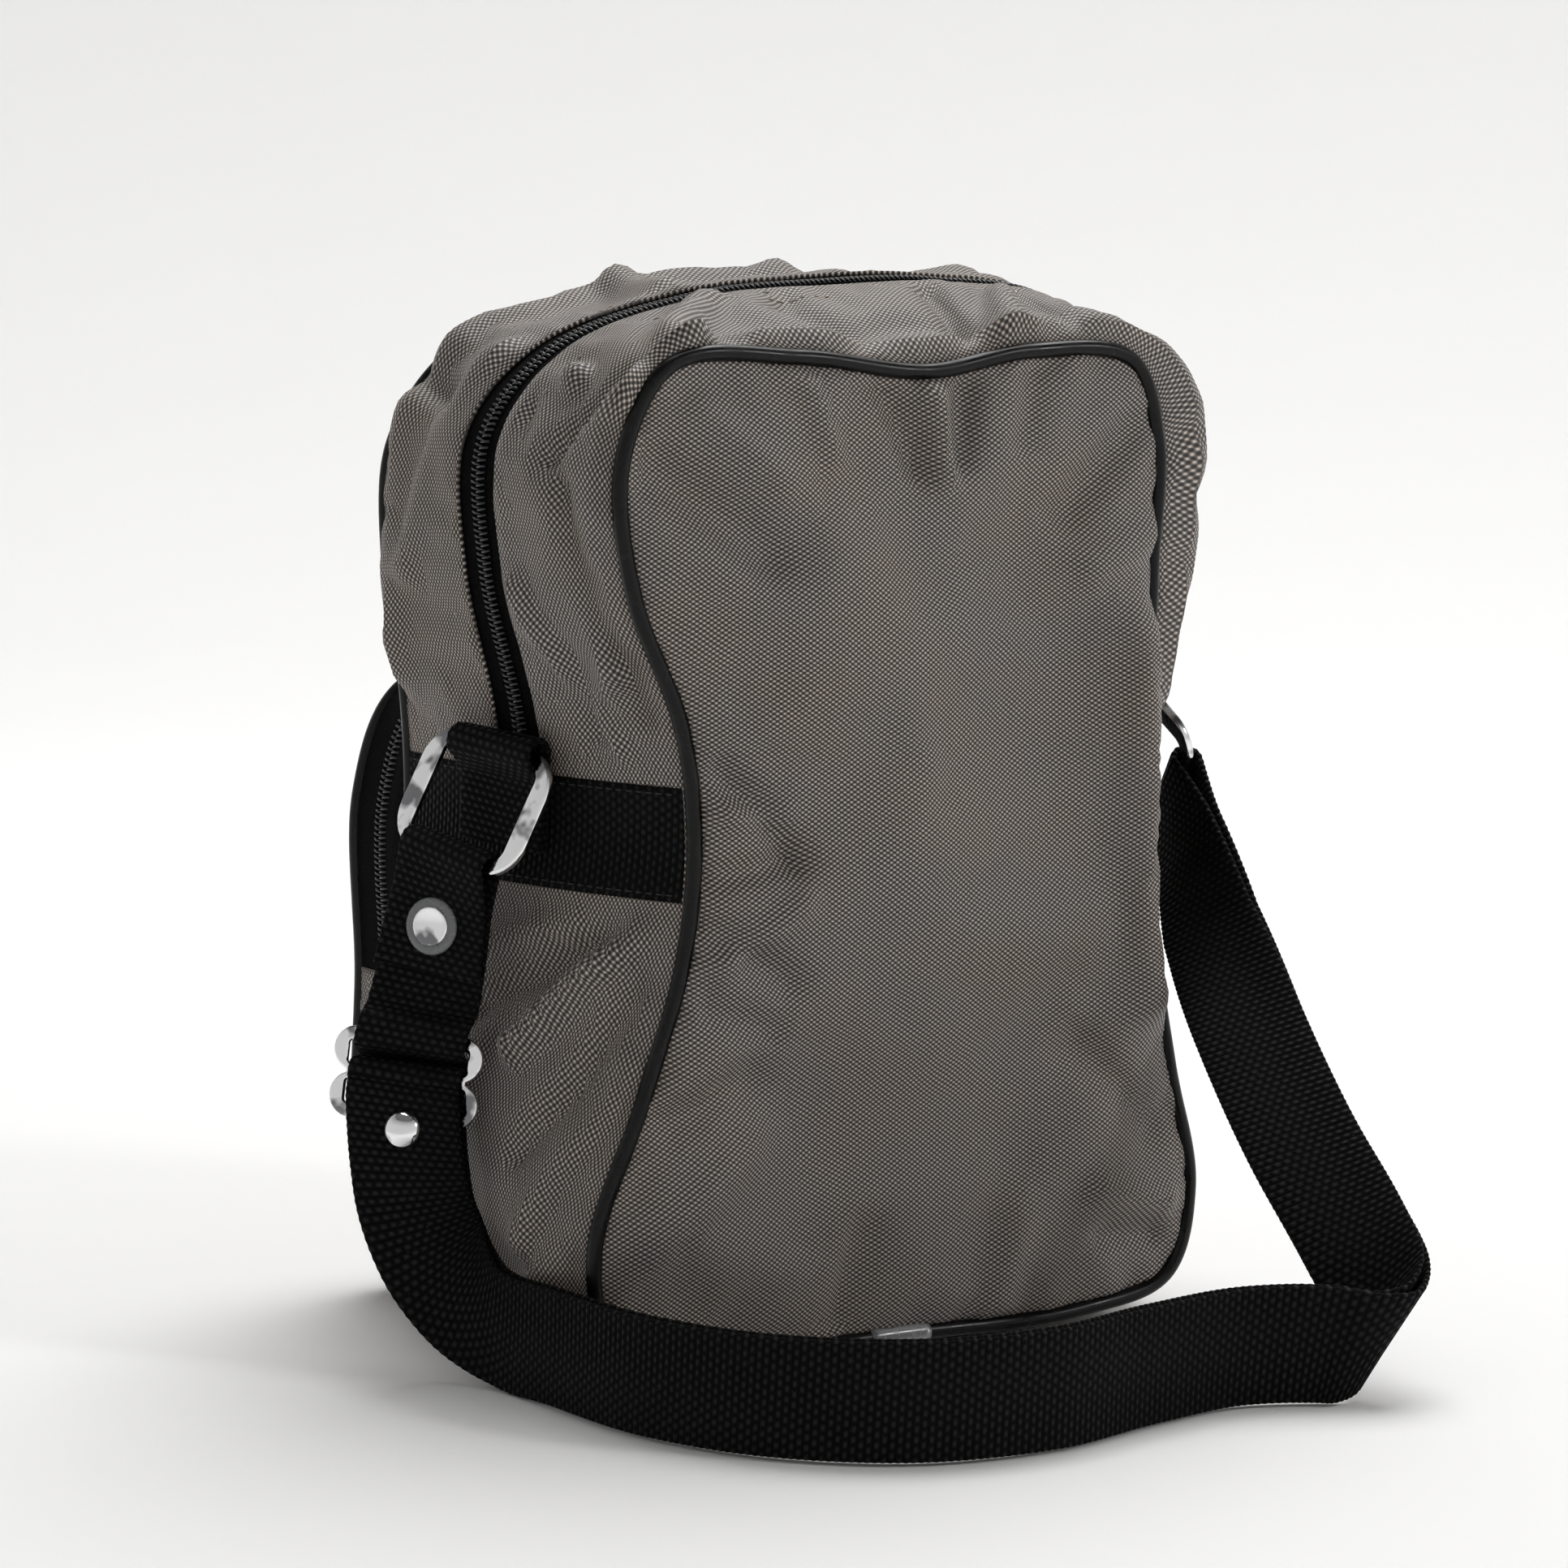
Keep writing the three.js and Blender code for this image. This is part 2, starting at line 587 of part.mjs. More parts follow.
// ---- Adjuster and the strap's long layers ----
const adjuster = { width: 40, height: 24, thickness: 2, slot: { width: 32, height: 6.2 }, centreBar: 4 };
function adjusterGeometry() {
  const lobe = adjuster.height / 4;
  const halfWidth = adjuster.width / 2;
  const shape = new THREE.Shape();
  const right = halfWidth - lobe;
  shape.moveTo(-right, -2 * lobe);
  shape.lineTo(right, -2 * lobe);
  shape.absarc(right, -lobe, lobe, -Math.PI / 2, Math.PI / 2 - 0.35, false);
  shape.absarc(right, lobe, lobe, -Math.PI / 2 + 0.35, Math.PI / 2, false);
  shape.lineTo(-right, 2 * lobe);
  shape.absarc(-right, lobe, lobe, Math.PI / 2, 1.5 * Math.PI - 0.35, false);
  shape.absarc(-right, -lobe, lobe, Math.PI / 2 + 0.35, 1.5 * Math.PI, false);
  const { width, height } = adjuster.slot;
  const offset = (adjuster.centreBar + height) / 2;
  for (const y of [-offset, offset]) {
    const slot = roundedRectangle(width, height, 1, THREE.Path);
    slot.curves.forEach((curve) => {
      if (curve.aY !== undefined) curve.aY += y;
      else {
        curve.v1.y += y;
        curve.v2.y += y;
      }
    });
    shape.holes.push(slot);
  }
  const geometry = new THREE.ExtrudeGeometry(shape,
    { depth: adjuster.thickness, bevelEnabled: false, curveSegments: 8 });
  geometry.translate(0, 0, -adjuster.thickness / 2);
  return geometry;
}

const adjusterDistance = distanceOfStation(adjusterStation);
const barClear = adjuster.thickness / 2 + 3 * gap + webbingThickness / 2;  // middle of webbing over a bar
const foldHeight = barClear + webbingThickness + gap;                  // middle of the layer over that
const domeDistance = 16.7;                                             // adjuster to its rivet

const fromAdjuster = (path) => path.map(([d, h]) => [adjusterDistance + d, h]);

// The even part of a long layer, from clear of the adjuster to the right ring.
function longPath(height) {
  const from = adjusterDistance + 46;
  const to = routeLength - 2 * gap;
  const steps = 90;
  return Array.from({ length: steps + 1 }, (_, k) => (
    [THREE.MathUtils.lerp(from, to, k / steps), height]));
}

// Comes down from the left ring over the adjuster's top bar, through its upper slot and on behind it.
function rearLayerPath() {
  const start = distanceOfStation(routeLegEnd) - adjusterDistance + 2 * gap;
  return [
    ...fromAdjuster([
      [start, -halfPitch], [-17.5, -halfPitch + 0.8], [-15, barClear], [-12, barClear], [-8.6, barClear],
      [-6.9, 1.2], [-6.1, -1], [-5.4, -3.6], [-3.5, -5.3], [0, -5.7], [9, -5.3], [20, -3.6], [34, -1.8]]),
    ...longPath(-halfPitch),
  ];
}

// Starts at the cut end, turns round the adjuster's centre bar and comes down over its bottom bar.
function frontLayerPath() {
  const turn = arcPath(adjuster.centreBar / 2 + 0.55 + webbingThickness / 2, -0.667, -3.333, 10);
  return [
    ...fromAdjuster([[24, barClear], [10, barClear], [7.3, 1], [4.6, -1.6], ...turn,
      [5.5, foldHeight], [24, foldHeight], [34, 2.6]]),
    ...longPath(halfPitch),
  ];
}

function addStrapLayers() {
  addPiece('adjuster', placed(adjusterGeometry(), routeFrame(adjusterDistance), 0), chrome);
  addPiece('strap_rear_layer', ribbonGeometry(pathFrames(rearLayerPath())), blackWebbing);
  const domeFrame = routeFrame(adjusterDistance + domeDistance);
  const front = ribbonGeometry(pathFrames(frontLayerPath()));
  addPiece('strap_front_layer', pierced(front, domeFrame, rivetShank + gap), blackWebbing);
  const half = webbingThickness / 2 + gap;
  addPiece('adjuster_rivet',
    placed(rivetGeometry(foldHeight + half, barClear - half, true), domeFrame, 0), chrome);
}

// ---- Zip sliders and pulls ----
// A slider's frame: X across the zip, Y along it, Z out from it.
const sliderLength = 12;
const pullPivotHeight = 5;
const lugWidth = 2.4;

function sliderGeometry() {
  const section = new THREE.Shape();
  section.setFromPoints([
    [-5, 0.5], [-3.4, 0.5], [-3.4, 2.4], [3.4, 2.4], [3.4, 0.5], [5, 0.5], [5, 2.8], [4.2, 3.5], [-4.2, 3.5],
    [-5, 2.8],
  ].map(([x, z]) => new THREE.Vector2(x, z)));
  const body = new THREE.ExtrudeGeometry(section, { depth: sliderLength, bevelEnabled: false });
  body.rotateX(Math.PI / 2).translate(0, sliderLength / 2, 0);
  const side = new THREE.Shape();
  side.moveTo(2.4, pullPivotHeight);
  side.absarc(0, pullPivotHeight, 2.4, 0, Math.PI, false);
  side.lineTo(-2.4, 3);
  side.lineTo(2.4, 3);
  const eye = new THREE.Path();
  eye.absarc(0, pullPivotHeight, 1.3, 0, 2 * Math.PI);
  side.holes.push(eye);
  const lug = new THREE.ExtrudeGeometry(side, { depth: lugWidth, bevelEnabled: false, curveSegments: 8 });
  lug.translate(0, 0, -lugWidth / 2);
  lug.applyMatrix4(new THREE.Matrix4().makeBasis(
    new THREE.Vector3(0, 1, 0), new THREE.Vector3(0, 0, 1), new THREE.Vector3(1, 0, 0)));
  return fromSolid(toSolid(body).add(toSolid(lug)));
}

// The pull hangs from a bar through the slider's eye; the bar lies on the X axis.
function pullGeometry(length) {
  const bar = 0.7;
  const shape = new THREE.Shape();
  shape.moveTo(-3, bar);
  shape.lineTo(3, bar);
  shape.lineTo(4, 5 - length);
  shape.absarc(0, 4 - length, 4, 0, -Math.PI, true);
  const slot = new THREE.Path();
  const reach = lugWidth / 2 + 0.6;
  slot.moveTo(-reach, -bar);
  slot.lineTo(-reach, -5.2);
  slot.lineTo(reach, -5.2);
  slot.lineTo(reach, -bar);
  shape.holes.push(slot);
  return new THREE.ExtrudeGeometry(shape, { depth: 1.2, bevelEnabled: false, curveSegments: 6 })
    .translate(0, 0, -0.6);
}

// The slider sits on the zip at station from and can travel in a straight line towards station to.
function addSlider(name, surface, y, from, to, pullLength) {
  const start = surface(from, y);
  const travel = surface(to, y).point.sub(start.point);
  const up = travel.clone().normalize();
  const out = start.out.clone().addScaledVector(up, -start.out.dot(up)).normalize();
  const frame = new THREE.Group();
  frame.setRotationFromMatrix(new THREE.Matrix4().makeBasis(up.clone().cross(out), up, out));
  frame.position.copy(start.point);
  bag.add(frame);
  addPiece(`${name}_slider`, sliderGeometry(), chrome, frame);
  const hinge = new THREE.Group();
  hinge.position.z = pullPivotHeight;
  frame.add(hinge);
  addPiece(`${name}_pull`, pullGeometry(pullLength), chrome, hinge);
}

addBody();
addMainZip();
addSideBands();
addPocket();
addTabsAndRings();
addStrapEnds();
addStrapLayers();
addSlider('main_zip', bodySurface, 0, 16.2, 15, 22);
addSlider('pocket_zip', pocketSurface, pocketZipY, 11.8, 11.15, 20);

export default bag;
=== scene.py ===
import math

import bpy
import numpy as np
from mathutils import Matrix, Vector, noise
from mathutils.bvhtree import BVHTree


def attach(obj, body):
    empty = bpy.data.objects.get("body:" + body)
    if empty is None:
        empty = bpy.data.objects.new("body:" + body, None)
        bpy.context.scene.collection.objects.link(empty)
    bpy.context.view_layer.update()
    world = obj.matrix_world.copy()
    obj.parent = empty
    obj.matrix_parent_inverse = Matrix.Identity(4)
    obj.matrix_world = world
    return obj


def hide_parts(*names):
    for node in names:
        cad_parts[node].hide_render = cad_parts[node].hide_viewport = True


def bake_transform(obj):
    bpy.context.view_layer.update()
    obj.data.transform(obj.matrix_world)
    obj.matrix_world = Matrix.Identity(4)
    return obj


# A small taupe nylon shoulder bag seen from behind, with its webbing strap laid on the floor.
# Shapes are worked out in millimetres, as in the CAD model, and turned to metres when a mesh is made.
# Texture coordinates are in millimetres too, so that every weave has its real scale.

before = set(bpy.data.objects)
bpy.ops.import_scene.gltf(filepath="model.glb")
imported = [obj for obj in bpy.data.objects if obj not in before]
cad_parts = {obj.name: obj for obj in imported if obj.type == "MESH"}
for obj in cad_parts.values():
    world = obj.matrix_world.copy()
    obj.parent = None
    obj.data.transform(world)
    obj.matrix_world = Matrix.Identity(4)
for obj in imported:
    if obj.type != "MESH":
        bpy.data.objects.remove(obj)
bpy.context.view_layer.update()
MM = 0.001

# ---- Driving dimensions, the CAD model's own ----
HALF_DEPTH = 55
PIPING_RADIUS = 2.1
PANEL_CROWN = 10
FRONT_CROWN = 1.5
ZIP_STRIP_EDGE = 8.6
WEBBING_WIDTH = 30
WEBBING_THICKNESS = 1.5
RIB_PITCH = 1.88
LAYER_PITCH = 3.0
RING_BAR = 4.5
RING_SIDE = 6.0
RING_PLATE = 2.4
RING_CORNERS = (11, 3.5)
RING_OPENING = (34, 26)
TAB_TILT = math.radians(17)
RING_SWING = math.radians(25)
TAB_LOOP_RADIUS = 3.1
TAB_LENGTH = 26
POCKET_BACK = 57.8
POCKET_PLANE = 90
POCKET_ZIP_Y = 74

BACK_OUTLINE = [
    [0, 6], [-60, 7], [-86, 14], [-91, 38], [-77, 75], [-65, 110], [-61.5, 140], [-65, 170],
    [-79, 205], [-82, 238], [-68, 262], [-30, 263], [8, 258.5], [40, 263], [72, 260], [80.5, 238],
    [79, 205], [78, 170], [78, 140], [79, 110], [86, 70], [93, 36], [86, 13], [58, 6]]
MIDDLE_OUTLINE = [
    [0, -3], [-62, -2], [-90, 10], [-98, 40], [-92, 78], [-84, 110], [-80, 140], [-83, 170],
    [-92, 208], [-92, 242], [-72, 264], [-30, 277], [8, 280], [45, 280], [82, 273], [101, 240],
    [99.5, 205], [97, 170], [95, 140], [95, 110], [97, 74], [98, 38], [90, 10], [60, -2]]
FRONT_OUTLINE = [
    [0, 5], [-60, 6], [-84, 12], [-90, 38], [-92, 76], [-89, 110], [-86, 140], [-87, 170],
    [-92, 205], [-90, 238], [-70, 262], [-30, 268], [8, 272], [42, 276], [78, 272], [88, 240],
    [88, 205], [87, 170], [86, 140], [87, 110], [90, 74], [91, 36], [84, 12], [58, 6]]
POCKET_HALF = [[0, 8], [52, 9], [78, 18], [85, 45], [84, 90], [84, 140], [73, 166], [46, 176], [0, 179]]
POCKET_OUTLINE = [[-x, z] for x, z in POCKET_HALF] + POCKET_HALF[1:-1][::-1]
# Places round an outline are stations: the number of its point, counted from the middle of the bottom.
BODY_STATIONS = len(BACK_OUTLINE)
POCKET_STATIONS = len(POCKET_OUTLINE)
LEFT_SEAM = 6
RIGHT_SEAM = 18
BAND_REACH = 0.5
POCKET_ZIP_START = 4
POCKET_ZIP_END = 12

# ---- Thicknesses and heights of the visible layers ----
CLOTH_THICKNESS = 1.0
TAPE_THICKNESS = 0.9
BAND_HEIGHT = 1.5
FLOOR_CLEARANCE = 1.3
SEAM_INSET = 1.4
ZIP_STITCH_INSETS = (2.2, 8.5)  # from the zip's edge, in millimetres
POCKET_STITCH_INSETS = (0.12, 0.42)  # from the zip's ends, in stations

# Centre of the doubled strap and the direction across it, from the left ring to the right one.
STRAP_ROUTE = [
    [-104, 2, 117, 0.62, -0.75, -0.22], [-109, 3.5, 97, 0.7, -0.7, -0.12],
    [-113.5, 5, 76, 0.74, -0.67, -0.08], [-115.5, 0, 57, 0.77, -0.64, -0.02],
    [-115, -6, 39, 0.78, -0.52, 0.3], [-110, -17, 23, 0.45, -0.25, 0.86],
    [-106, -34, 16, 0.05, 0, 1], [-104, -56, 16, 0, 0, 1], [-99, -96, 16, 0, 0, 1],
    [-83, -129, 16, 0, 0, 1], [-55, -152, 16, 0, 0, 1], [-20, -158, 16, 0, 0, 1],
    [14, -150, 16, 0, 0, 1], [44, -146, 16, 0.05, 0, 1], [61, -152, 16, 0.1, 0, 1],
    [76, -160, 15.6, 0.4, -0.2, 0.84], [86, -153, 22, 0.52, -0.3, 0.74],
    [87, -136, 39, 0.75, -0.4, 0.5], [88, -112, 59, 0.8, -0.48, 0.36],
    [93, -84, 81, 0.78, -0.52, 0.36], [103, -50, 106, 0.4, -0.75, 0.5]]
LEG_END_STATION = 1
ADJUSTER_STATION = 2


def unit(vectors):
    return vectors / np.linalg.norm(vectors, axis=-1, keepdims=True)


# ---- Curves ----
class Curve:
    """A centripetal Catmull-Rom curve through points, open or closed."""

    def __init__(self, points, closed=False):
        self.points = np.array(points, float)
        self.closed = closed
        samples = self.at(np.linspace(0, 1, 4001))
        steps = np.linalg.norm(np.diff(samples, axis=0), axis=1)
        self.reached = np.concatenate([[0], np.cumsum(steps)])
        self.length = self.reached[-1]

    def at(self, t):
        p = self.points
        count = len(p)
        spans = count if self.closed else count - 1
        place = np.asarray(t, float) * spans
        if self.closed:
            place = place % count
        k = np.clip(np.floor(place).astype(int), 0, spans - 1)
        w = (place - k)[..., None]
        if self.closed:
            q = [p[(k + j) % count] for j in (-1, 0, 1, 2)]
        else:
            longer = np.vstack([2 * p[0] - p[1], p, 2 * p[-1] - p[-2]])
            q = [longer[k + j] for j in range(4)]
        d0, d1, d2 = (
            np.maximum(((q[j + 1] - q[j]) ** 2).sum(-1, keepdims=True), 1e-8) ** 0.25 for j in range(3))
        start = ((q[1] - q[0]) / d0 - (q[2] - q[0]) / (d0 + d1) + (q[2] - q[1]) / d1) * d1
        end = ((q[2] - q[1]) / d1 - (q[3] - q[1]) / (d1 + d2) + (q[3] - q[2]) / d2) * d1
        return (q[1] + start * w + (3 * (q[2] - q[1]) - 2 * start - end) * w**2
                + (2 * (q[1] - q[2]) + start + end) * w**3)

    def parameter(self, distance):
        return np.interp(distance, self.reached, np.linspace(0, 1, len(self.reached)))

    def even(self, step):
        """Points about step apart along the curve, both ends included."""
        count = max(2, int(round(self.length / step)) + 1)
        return self.at(self.parameter(np.linspace(0, self.length, count)))


def outline_curve(outline):
    return Curve([(x, 0, z) for x, z in outline], closed=True)


# ---- Meshes ----
PIECE_SUFFIX = "_look"  # keeps a piece's name apart from the CAD node's name
LATHE_SIDES = 48
SETTLE_FRAMES = 24


def add_object(name, mesh):
    piece = bpy.data.objects.new(name + PIECE_SUFFIX, mesh)
    bpy.context.scene.collection.objects.link(piece)
    return piece


def new_piece(name, points, faces, uv):
    """An object from points in millimetres. uv holds one texture coordinate per face corner."""
    mesh = bpy.data.meshes.new(name)
    mesh.from_pydata((np.asarray(points) * MM).tolist(), [], faces)
    layer = mesh.uv_layers.new(name="millimetres")
    layer.data.foreach_set("uv", np.asarray(uv, np.float32).ravel())
    mesh.shade_smooth()
    mesh.update()
    return add_object(name, mesh)


def grid_faces(rows, columns, wrap, caps):
    """Faces of a grid of points and, for each face corner, its row and its unwrapped column."""
    across = columns if wrap else columns - 1
    r, c = np.meshgrid(np.arange(rows - 1), np.arange(across), indexing="ij")
    corner_rows = np.stack([r, r, r + 1, r + 1], -1).reshape(-1, 4)
    corner_columns = np.stack([c, c + 1, c + 1, c], -1).reshape(-1, 4)
    faces = (corner_rows * columns + corner_columns % columns).tolist()
    corners = np.stack([corner_rows, corner_columns], -1).reshape(-1, 2)
    if caps:
        ring = np.arange(columns)
        for row, order in ((0, ring[::-1]), (rows - 1, ring)):
            faces.append((row * columns + order).tolist())
            corners = np.vstack([corners, np.stack([np.full(columns, row), order], -1)])
    return faces, corners


def grid_piece(name, points, u, v, wrap=False, caps=False):
    """A piece from rows of points; u is a texture coordinate per row and v one per column."""
    rows, columns = points.shape[:2]
    faces, corners = grid_faces(rows, columns, wrap, caps)
    uv = np.stack([np.asarray(u)[corners[:, 0]], np.asarray(v)[corners[:, 1]]], -1)
    return new_piece(name, points.reshape(-1, 3), faces, uv)


def sheet_piece(name, points, u, v):
    """As grid_piece, with a texture coordinate of its own for every point: u and v are grids."""
    rows, columns = points.shape[:2]
    faces, corners = grid_faces(rows, columns, False, False)
    at = (corners[:, 0], corners[:, 1])
    return new_piece(name, points.reshape(-1, 3), faces, np.stack([u[at], v[at]], -1))


def swept(centres, first, second, section):
    """Rows of section points [a, b] set out along the two directions at each centre."""
    section = np.asarray(section, float)
    sideways = section[None, :, :1] * first[:, None]
    return centres[:, None] + sideways + section[None, :, 1:] * second[:, None]


def circle(radius, sides):
    angle = np.linspace(0, 2 * np.pi, sides, endpoint=False)
    return np.stack([radius * np.cos(angle), radius * np.sin(angle)], -1)


def directions(centres, closed=False):
    if closed:
        return unit(np.roll(centres, -1, 0) - np.roll(centres, 1, 0))
    return unit(np.gradient(centres, axis=0))


def lengths_along(centres):
    steps = np.linalg.norm(np.diff(centres, axis=0), axis=1)
    return np.concatenate([[0], np.cumsum(steps)])


def resampled(places, marks, values):
    """Three-part values, known at the lengths in marks, at other lengths."""
    return np.stack([np.interp(places, marks, values[:, k]) for k in range(3)], -1)


def turned_piece(name, profile, basis, origin):
    """A lathe shape: profile is [radius, height] points, turned about the third direction of basis."""
    profile = np.asarray(profile, float)
    heights = np.repeat(profile[:, None, 1:], LATHE_SIDES, 1)
    rings = np.concatenate([profile[:, None, :1] * circle(1, LATHE_SIDES), heights], -1)
    points = rings @ np.asarray(basis) + np.asarray(origin)
    marks = np.arange(LATHE_SIDES + 1) * 0.5
    return grid_piece(name, points, lengths_along(profile), marks, wrap=True, caps=True)


def plate_curve(name, loops, thickness, bevel):
    """A filled flat curve with a rounded rim, as an object in millimetres."""
    curve = bpy.data.curves.new(name, "CURVE")
    curve.dimensions = "2D"
    curve.fill_mode = "BOTH"
    curve.extrude = thickness / 2 - bevel
    curve.bevel_depth = bevel
    curve.bevel_resolution = 2
    curve.offset = -bevel
    for loop in loops:
        spline = curve.splines.new("POLY")
        spline.points.add(len(loop) - 1)
        spline.points.foreach_set("co", np.array([(x, y, 0, 1) for x, y in loop], np.float32).ravel())
        spline.use_cyclic_u = True
    maker = bpy.data.objects.new(name + "_maker", curve)
    bpy.context.scene.collection.objects.link(maker)
    bpy.context.view_layer.update()
    return maker


def plate_piece(name, loops, thickness, bevel, basis, origin):
    """A flat plate with rounded edges: the first loop of [x, y] points is its outline, the rest holes."""
    maker = plate_curve(name, loops, thickness, bevel)
    mesh = bpy.data.meshes.new_from_object(maker.evaluated_get(bpy.context.evaluated_depsgraph_get()))
    bpy.data.objects.remove(maker)
    mesh.materials.clear()
    mesh.shade_smooth()
    piece = add_object(name, mesh)
    set_coordinates(piece, (coordinates(piece) @ np.asarray(basis) + np.asarray(origin)) * MM)
    weld = piece.modifiers.new("weld", "WELD")
    weld.merge_threshold = 0.01 * MM
    split = piece.modifiers.new("edges", "EDGE_SPLIT")
    split.split_angle = math.radians(40)
    return piece


def rounded_rectangle(width, height, radius, centre=(0, 0)):
    points = []
    steps = 8
    for quarter, (sx, sy) in enumerate([(1, 1), (-1, 1), (-1, -1), (1, -1)]):
        for k in range(steps + 1):
            angle = (quarter + k / steps) * math.pi / 2
            points.append([
                centre[0] + sx * (width / 2 - radius) + radius * math.cos(angle),
                centre[1] + sy * (height / 2 - radius) + radius * math.sin(angle)])
    return points


def thicken(piece, thickness):
    """Gives a sheet its thickness, all of it behind the face that is seen."""
    solid = piece.modifiers.new("thickness", "SOLIDIFY")
    solid.thickness = thickness * MM
    solid.offset = -1


def coordinates(piece):
    points = np.zeros(len(piece.data.vertices) * 3, np.float32)
    piece.data.vertices.foreach_get("co", points)
    return points.reshape(-1, 3).astype(float)


def set_coordinates(piece, points):
    piece.data.vertices.foreach_set("co", points.astype(np.float32).ravel())
    piece.data.update()


def add_cloth(piece, slack, pressure):
    """Cloth cut slack larger than its seams and blown up by pressure, with the pins group held."""
    cloth = piece.modifiers.new("cloth", "CLOTH")
    settings = cloth.settings
    settings.quality = 6
    settings.mass = 0.15
    settings.tension_stiffness = 20
    settings.compression_stiffness = 20
    settings.shear_stiffness = 8
    settings.bending_stiffness = 0.6
    settings.vertex_group_mass = "pins"
    settings.shrink_min = -slack
    settings.shrink_max = -slack
    settings.use_pressure = True
    settings.uniform_pressure_force = pressure
    settings.effector_weights.gravity = 0
    return cloth


def relax(piece, free, slack, pressure, reach):
    """Lets cloth settle by up to about reach millimetres. free is 0 where it is sewn and 1 where not."""
    pins = piece.vertex_groups.new(name="pins")
    for index, share in enumerate(free.ravel()):
        pins.add([index], float(1 - share), "REPLACE")
    cloth = add_cloth(piece, slack, pressure)
    scene = bpy.context.scene
    for number in range(1, SETTLE_FRAMES + 1):
        scene.frame_set(number)
    settled = piece.evaluated_get(bpy.context.evaluated_depsgraph_get())
    after = coordinates(settled)
    scene.frame_set(1)
    piece.modifiers.remove(cloth)
    piece.vertex_groups.remove(pins)
    before = coordinates(piece)
    shift = after - before
    size = np.linalg.norm(shift, axis=1, keepdims=True)
    limit = reach * MM
    set_coordinates(piece, before + shift * (limit * np.tanh(size / limit) / np.maximum(size, 1e-9)))


def finish_piece(piece, material, body, replaces=()):
    piece.data.materials.clear()
    piece.data.materials.append(material)
    if body:
        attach(piece, body)
    if replaces:
        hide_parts(*replaces)
    return piece


def finish_cloth(piece, name):
    thicken(piece, CLOTH_THICKNESS)
    return finish_piece(piece, NYLON, "bag", [name])


def finish_webbing(piece, body, name):
    return finish_piece(piece, WEBBING, body, [name])


def finish_chrome(piece, body, *replaces):
    return finish_piece(piece, CHROME, body, replaces)


# ---- Materials ----
class Shader:
    """A node material under construction, with short names for the nodes that it uses."""

    def __init__(self, name, base, roughness, metallic=0.0):
        self.material = bpy.data.materials.new(name)
        self.material.use_nodes = True
        self.tree = self.material.node_tree
        self.surface = self.tree.nodes["Principled BSDF"]
        self.set("Base Color", (*base, 1))
        self.set("Roughness", roughness)
        self.set("Metallic", metallic)

    def set(self, socket, value):
        self.surface.inputs[socket].default_value = value

    def node(self, kind, **values):
        node = self.tree.nodes.new(kind)
        for key, value in values.items():
            setattr(node, key, value)
        return node

    def link(self, source, target):
        self.tree.links.new(source, target)

    def math(self, operation, *inputs):
        node = self.node("ShaderNodeMath", operation=operation)
        for k, value in enumerate(inputs):
            if isinstance(value, (int, float)):
                node.inputs[k].default_value = value
            else:
                self.link(value, node.inputs[k])
        return node.outputs[0]

    def millimetres(self):
        """The texture coordinates u and v."""
        split = self.node("ShaderNodeSeparateXYZ")
        self.link(self.node("ShaderNodeUVMap", uv_map="millimetres").outputs[0], split.inputs[0])
        return split.outputs[0], split.outputs[1]

    def wave(self, coordinate, period, phase=0.0):
        """Cosine of a coordinate, from -1 to 1."""
        turn = self.math("MULTIPLY_ADD", coordinate, 2 * math.pi / period, phase)
        return self.math("COSINE", turn)

    def noise(self, scale, detail=2.0):
        """Noise in the object's own space, with scale in features per metre."""
        node = self.node("ShaderNodeTexNoise")
        node.inputs["Scale"].default_value = scale
        node.inputs["Detail"].default_value = detail
        self.link(self.node("ShaderNodeTexCoord").outputs["Object"], node.inputs["Vector"])
        return node.outputs["Fac"]

    def ramp(self, value, stops):
        node = self.node("ShaderNodeValToRGB")
        elements = node.color_ramp.elements
        while len(elements) < len(stops):
            elements.new(0.5)
        for element, (place, colour) in zip(elements, stops):
            element.position = place
            element.color = (*colour, 1) if isinstance(colour, tuple) else (*[colour] * 3, 1)
        self.link(value, node.inputs[0])
        return node.outputs[0]

    def mix(self, share, first, second):
        node = self.node("ShaderNodeMix", data_type="RGBA")
        self.link(share, node.inputs[0])
        for socket, value in ((node.inputs[6], first), (node.inputs[7], second)):
            if isinstance(value, tuple):
                socket.default_value = (*value, 1)
            else:
                self.link(value, socket)
        return node.outputs[2]

    def bump(self, height, depth, strength=1.0, after=None):
        """Bump of a height from 0 to 1 that is depth millimetres deep."""
        node = self.node("ShaderNodeBump")
        node.inputs["Strength"].default_value = strength
        node.inputs["Distance"].default_value = depth * MM
        self.link(height, node.inputs["Height"])
        if after is not None:
            self.link(after, node.inputs["Normal"])
        return node.outputs["Normal"]

    def wear(self, colour=None, roughness=None, normal=None):
        for socket, value in (("Base Color", colour), ("Roughness", roughness), ("Normal", normal)):
            if value is not None:
                self.link(value, self.surface.inputs[socket])
        return self.material


NYLON_WEAVE = (1.8, 1.27)  # periods of the weave along u and v


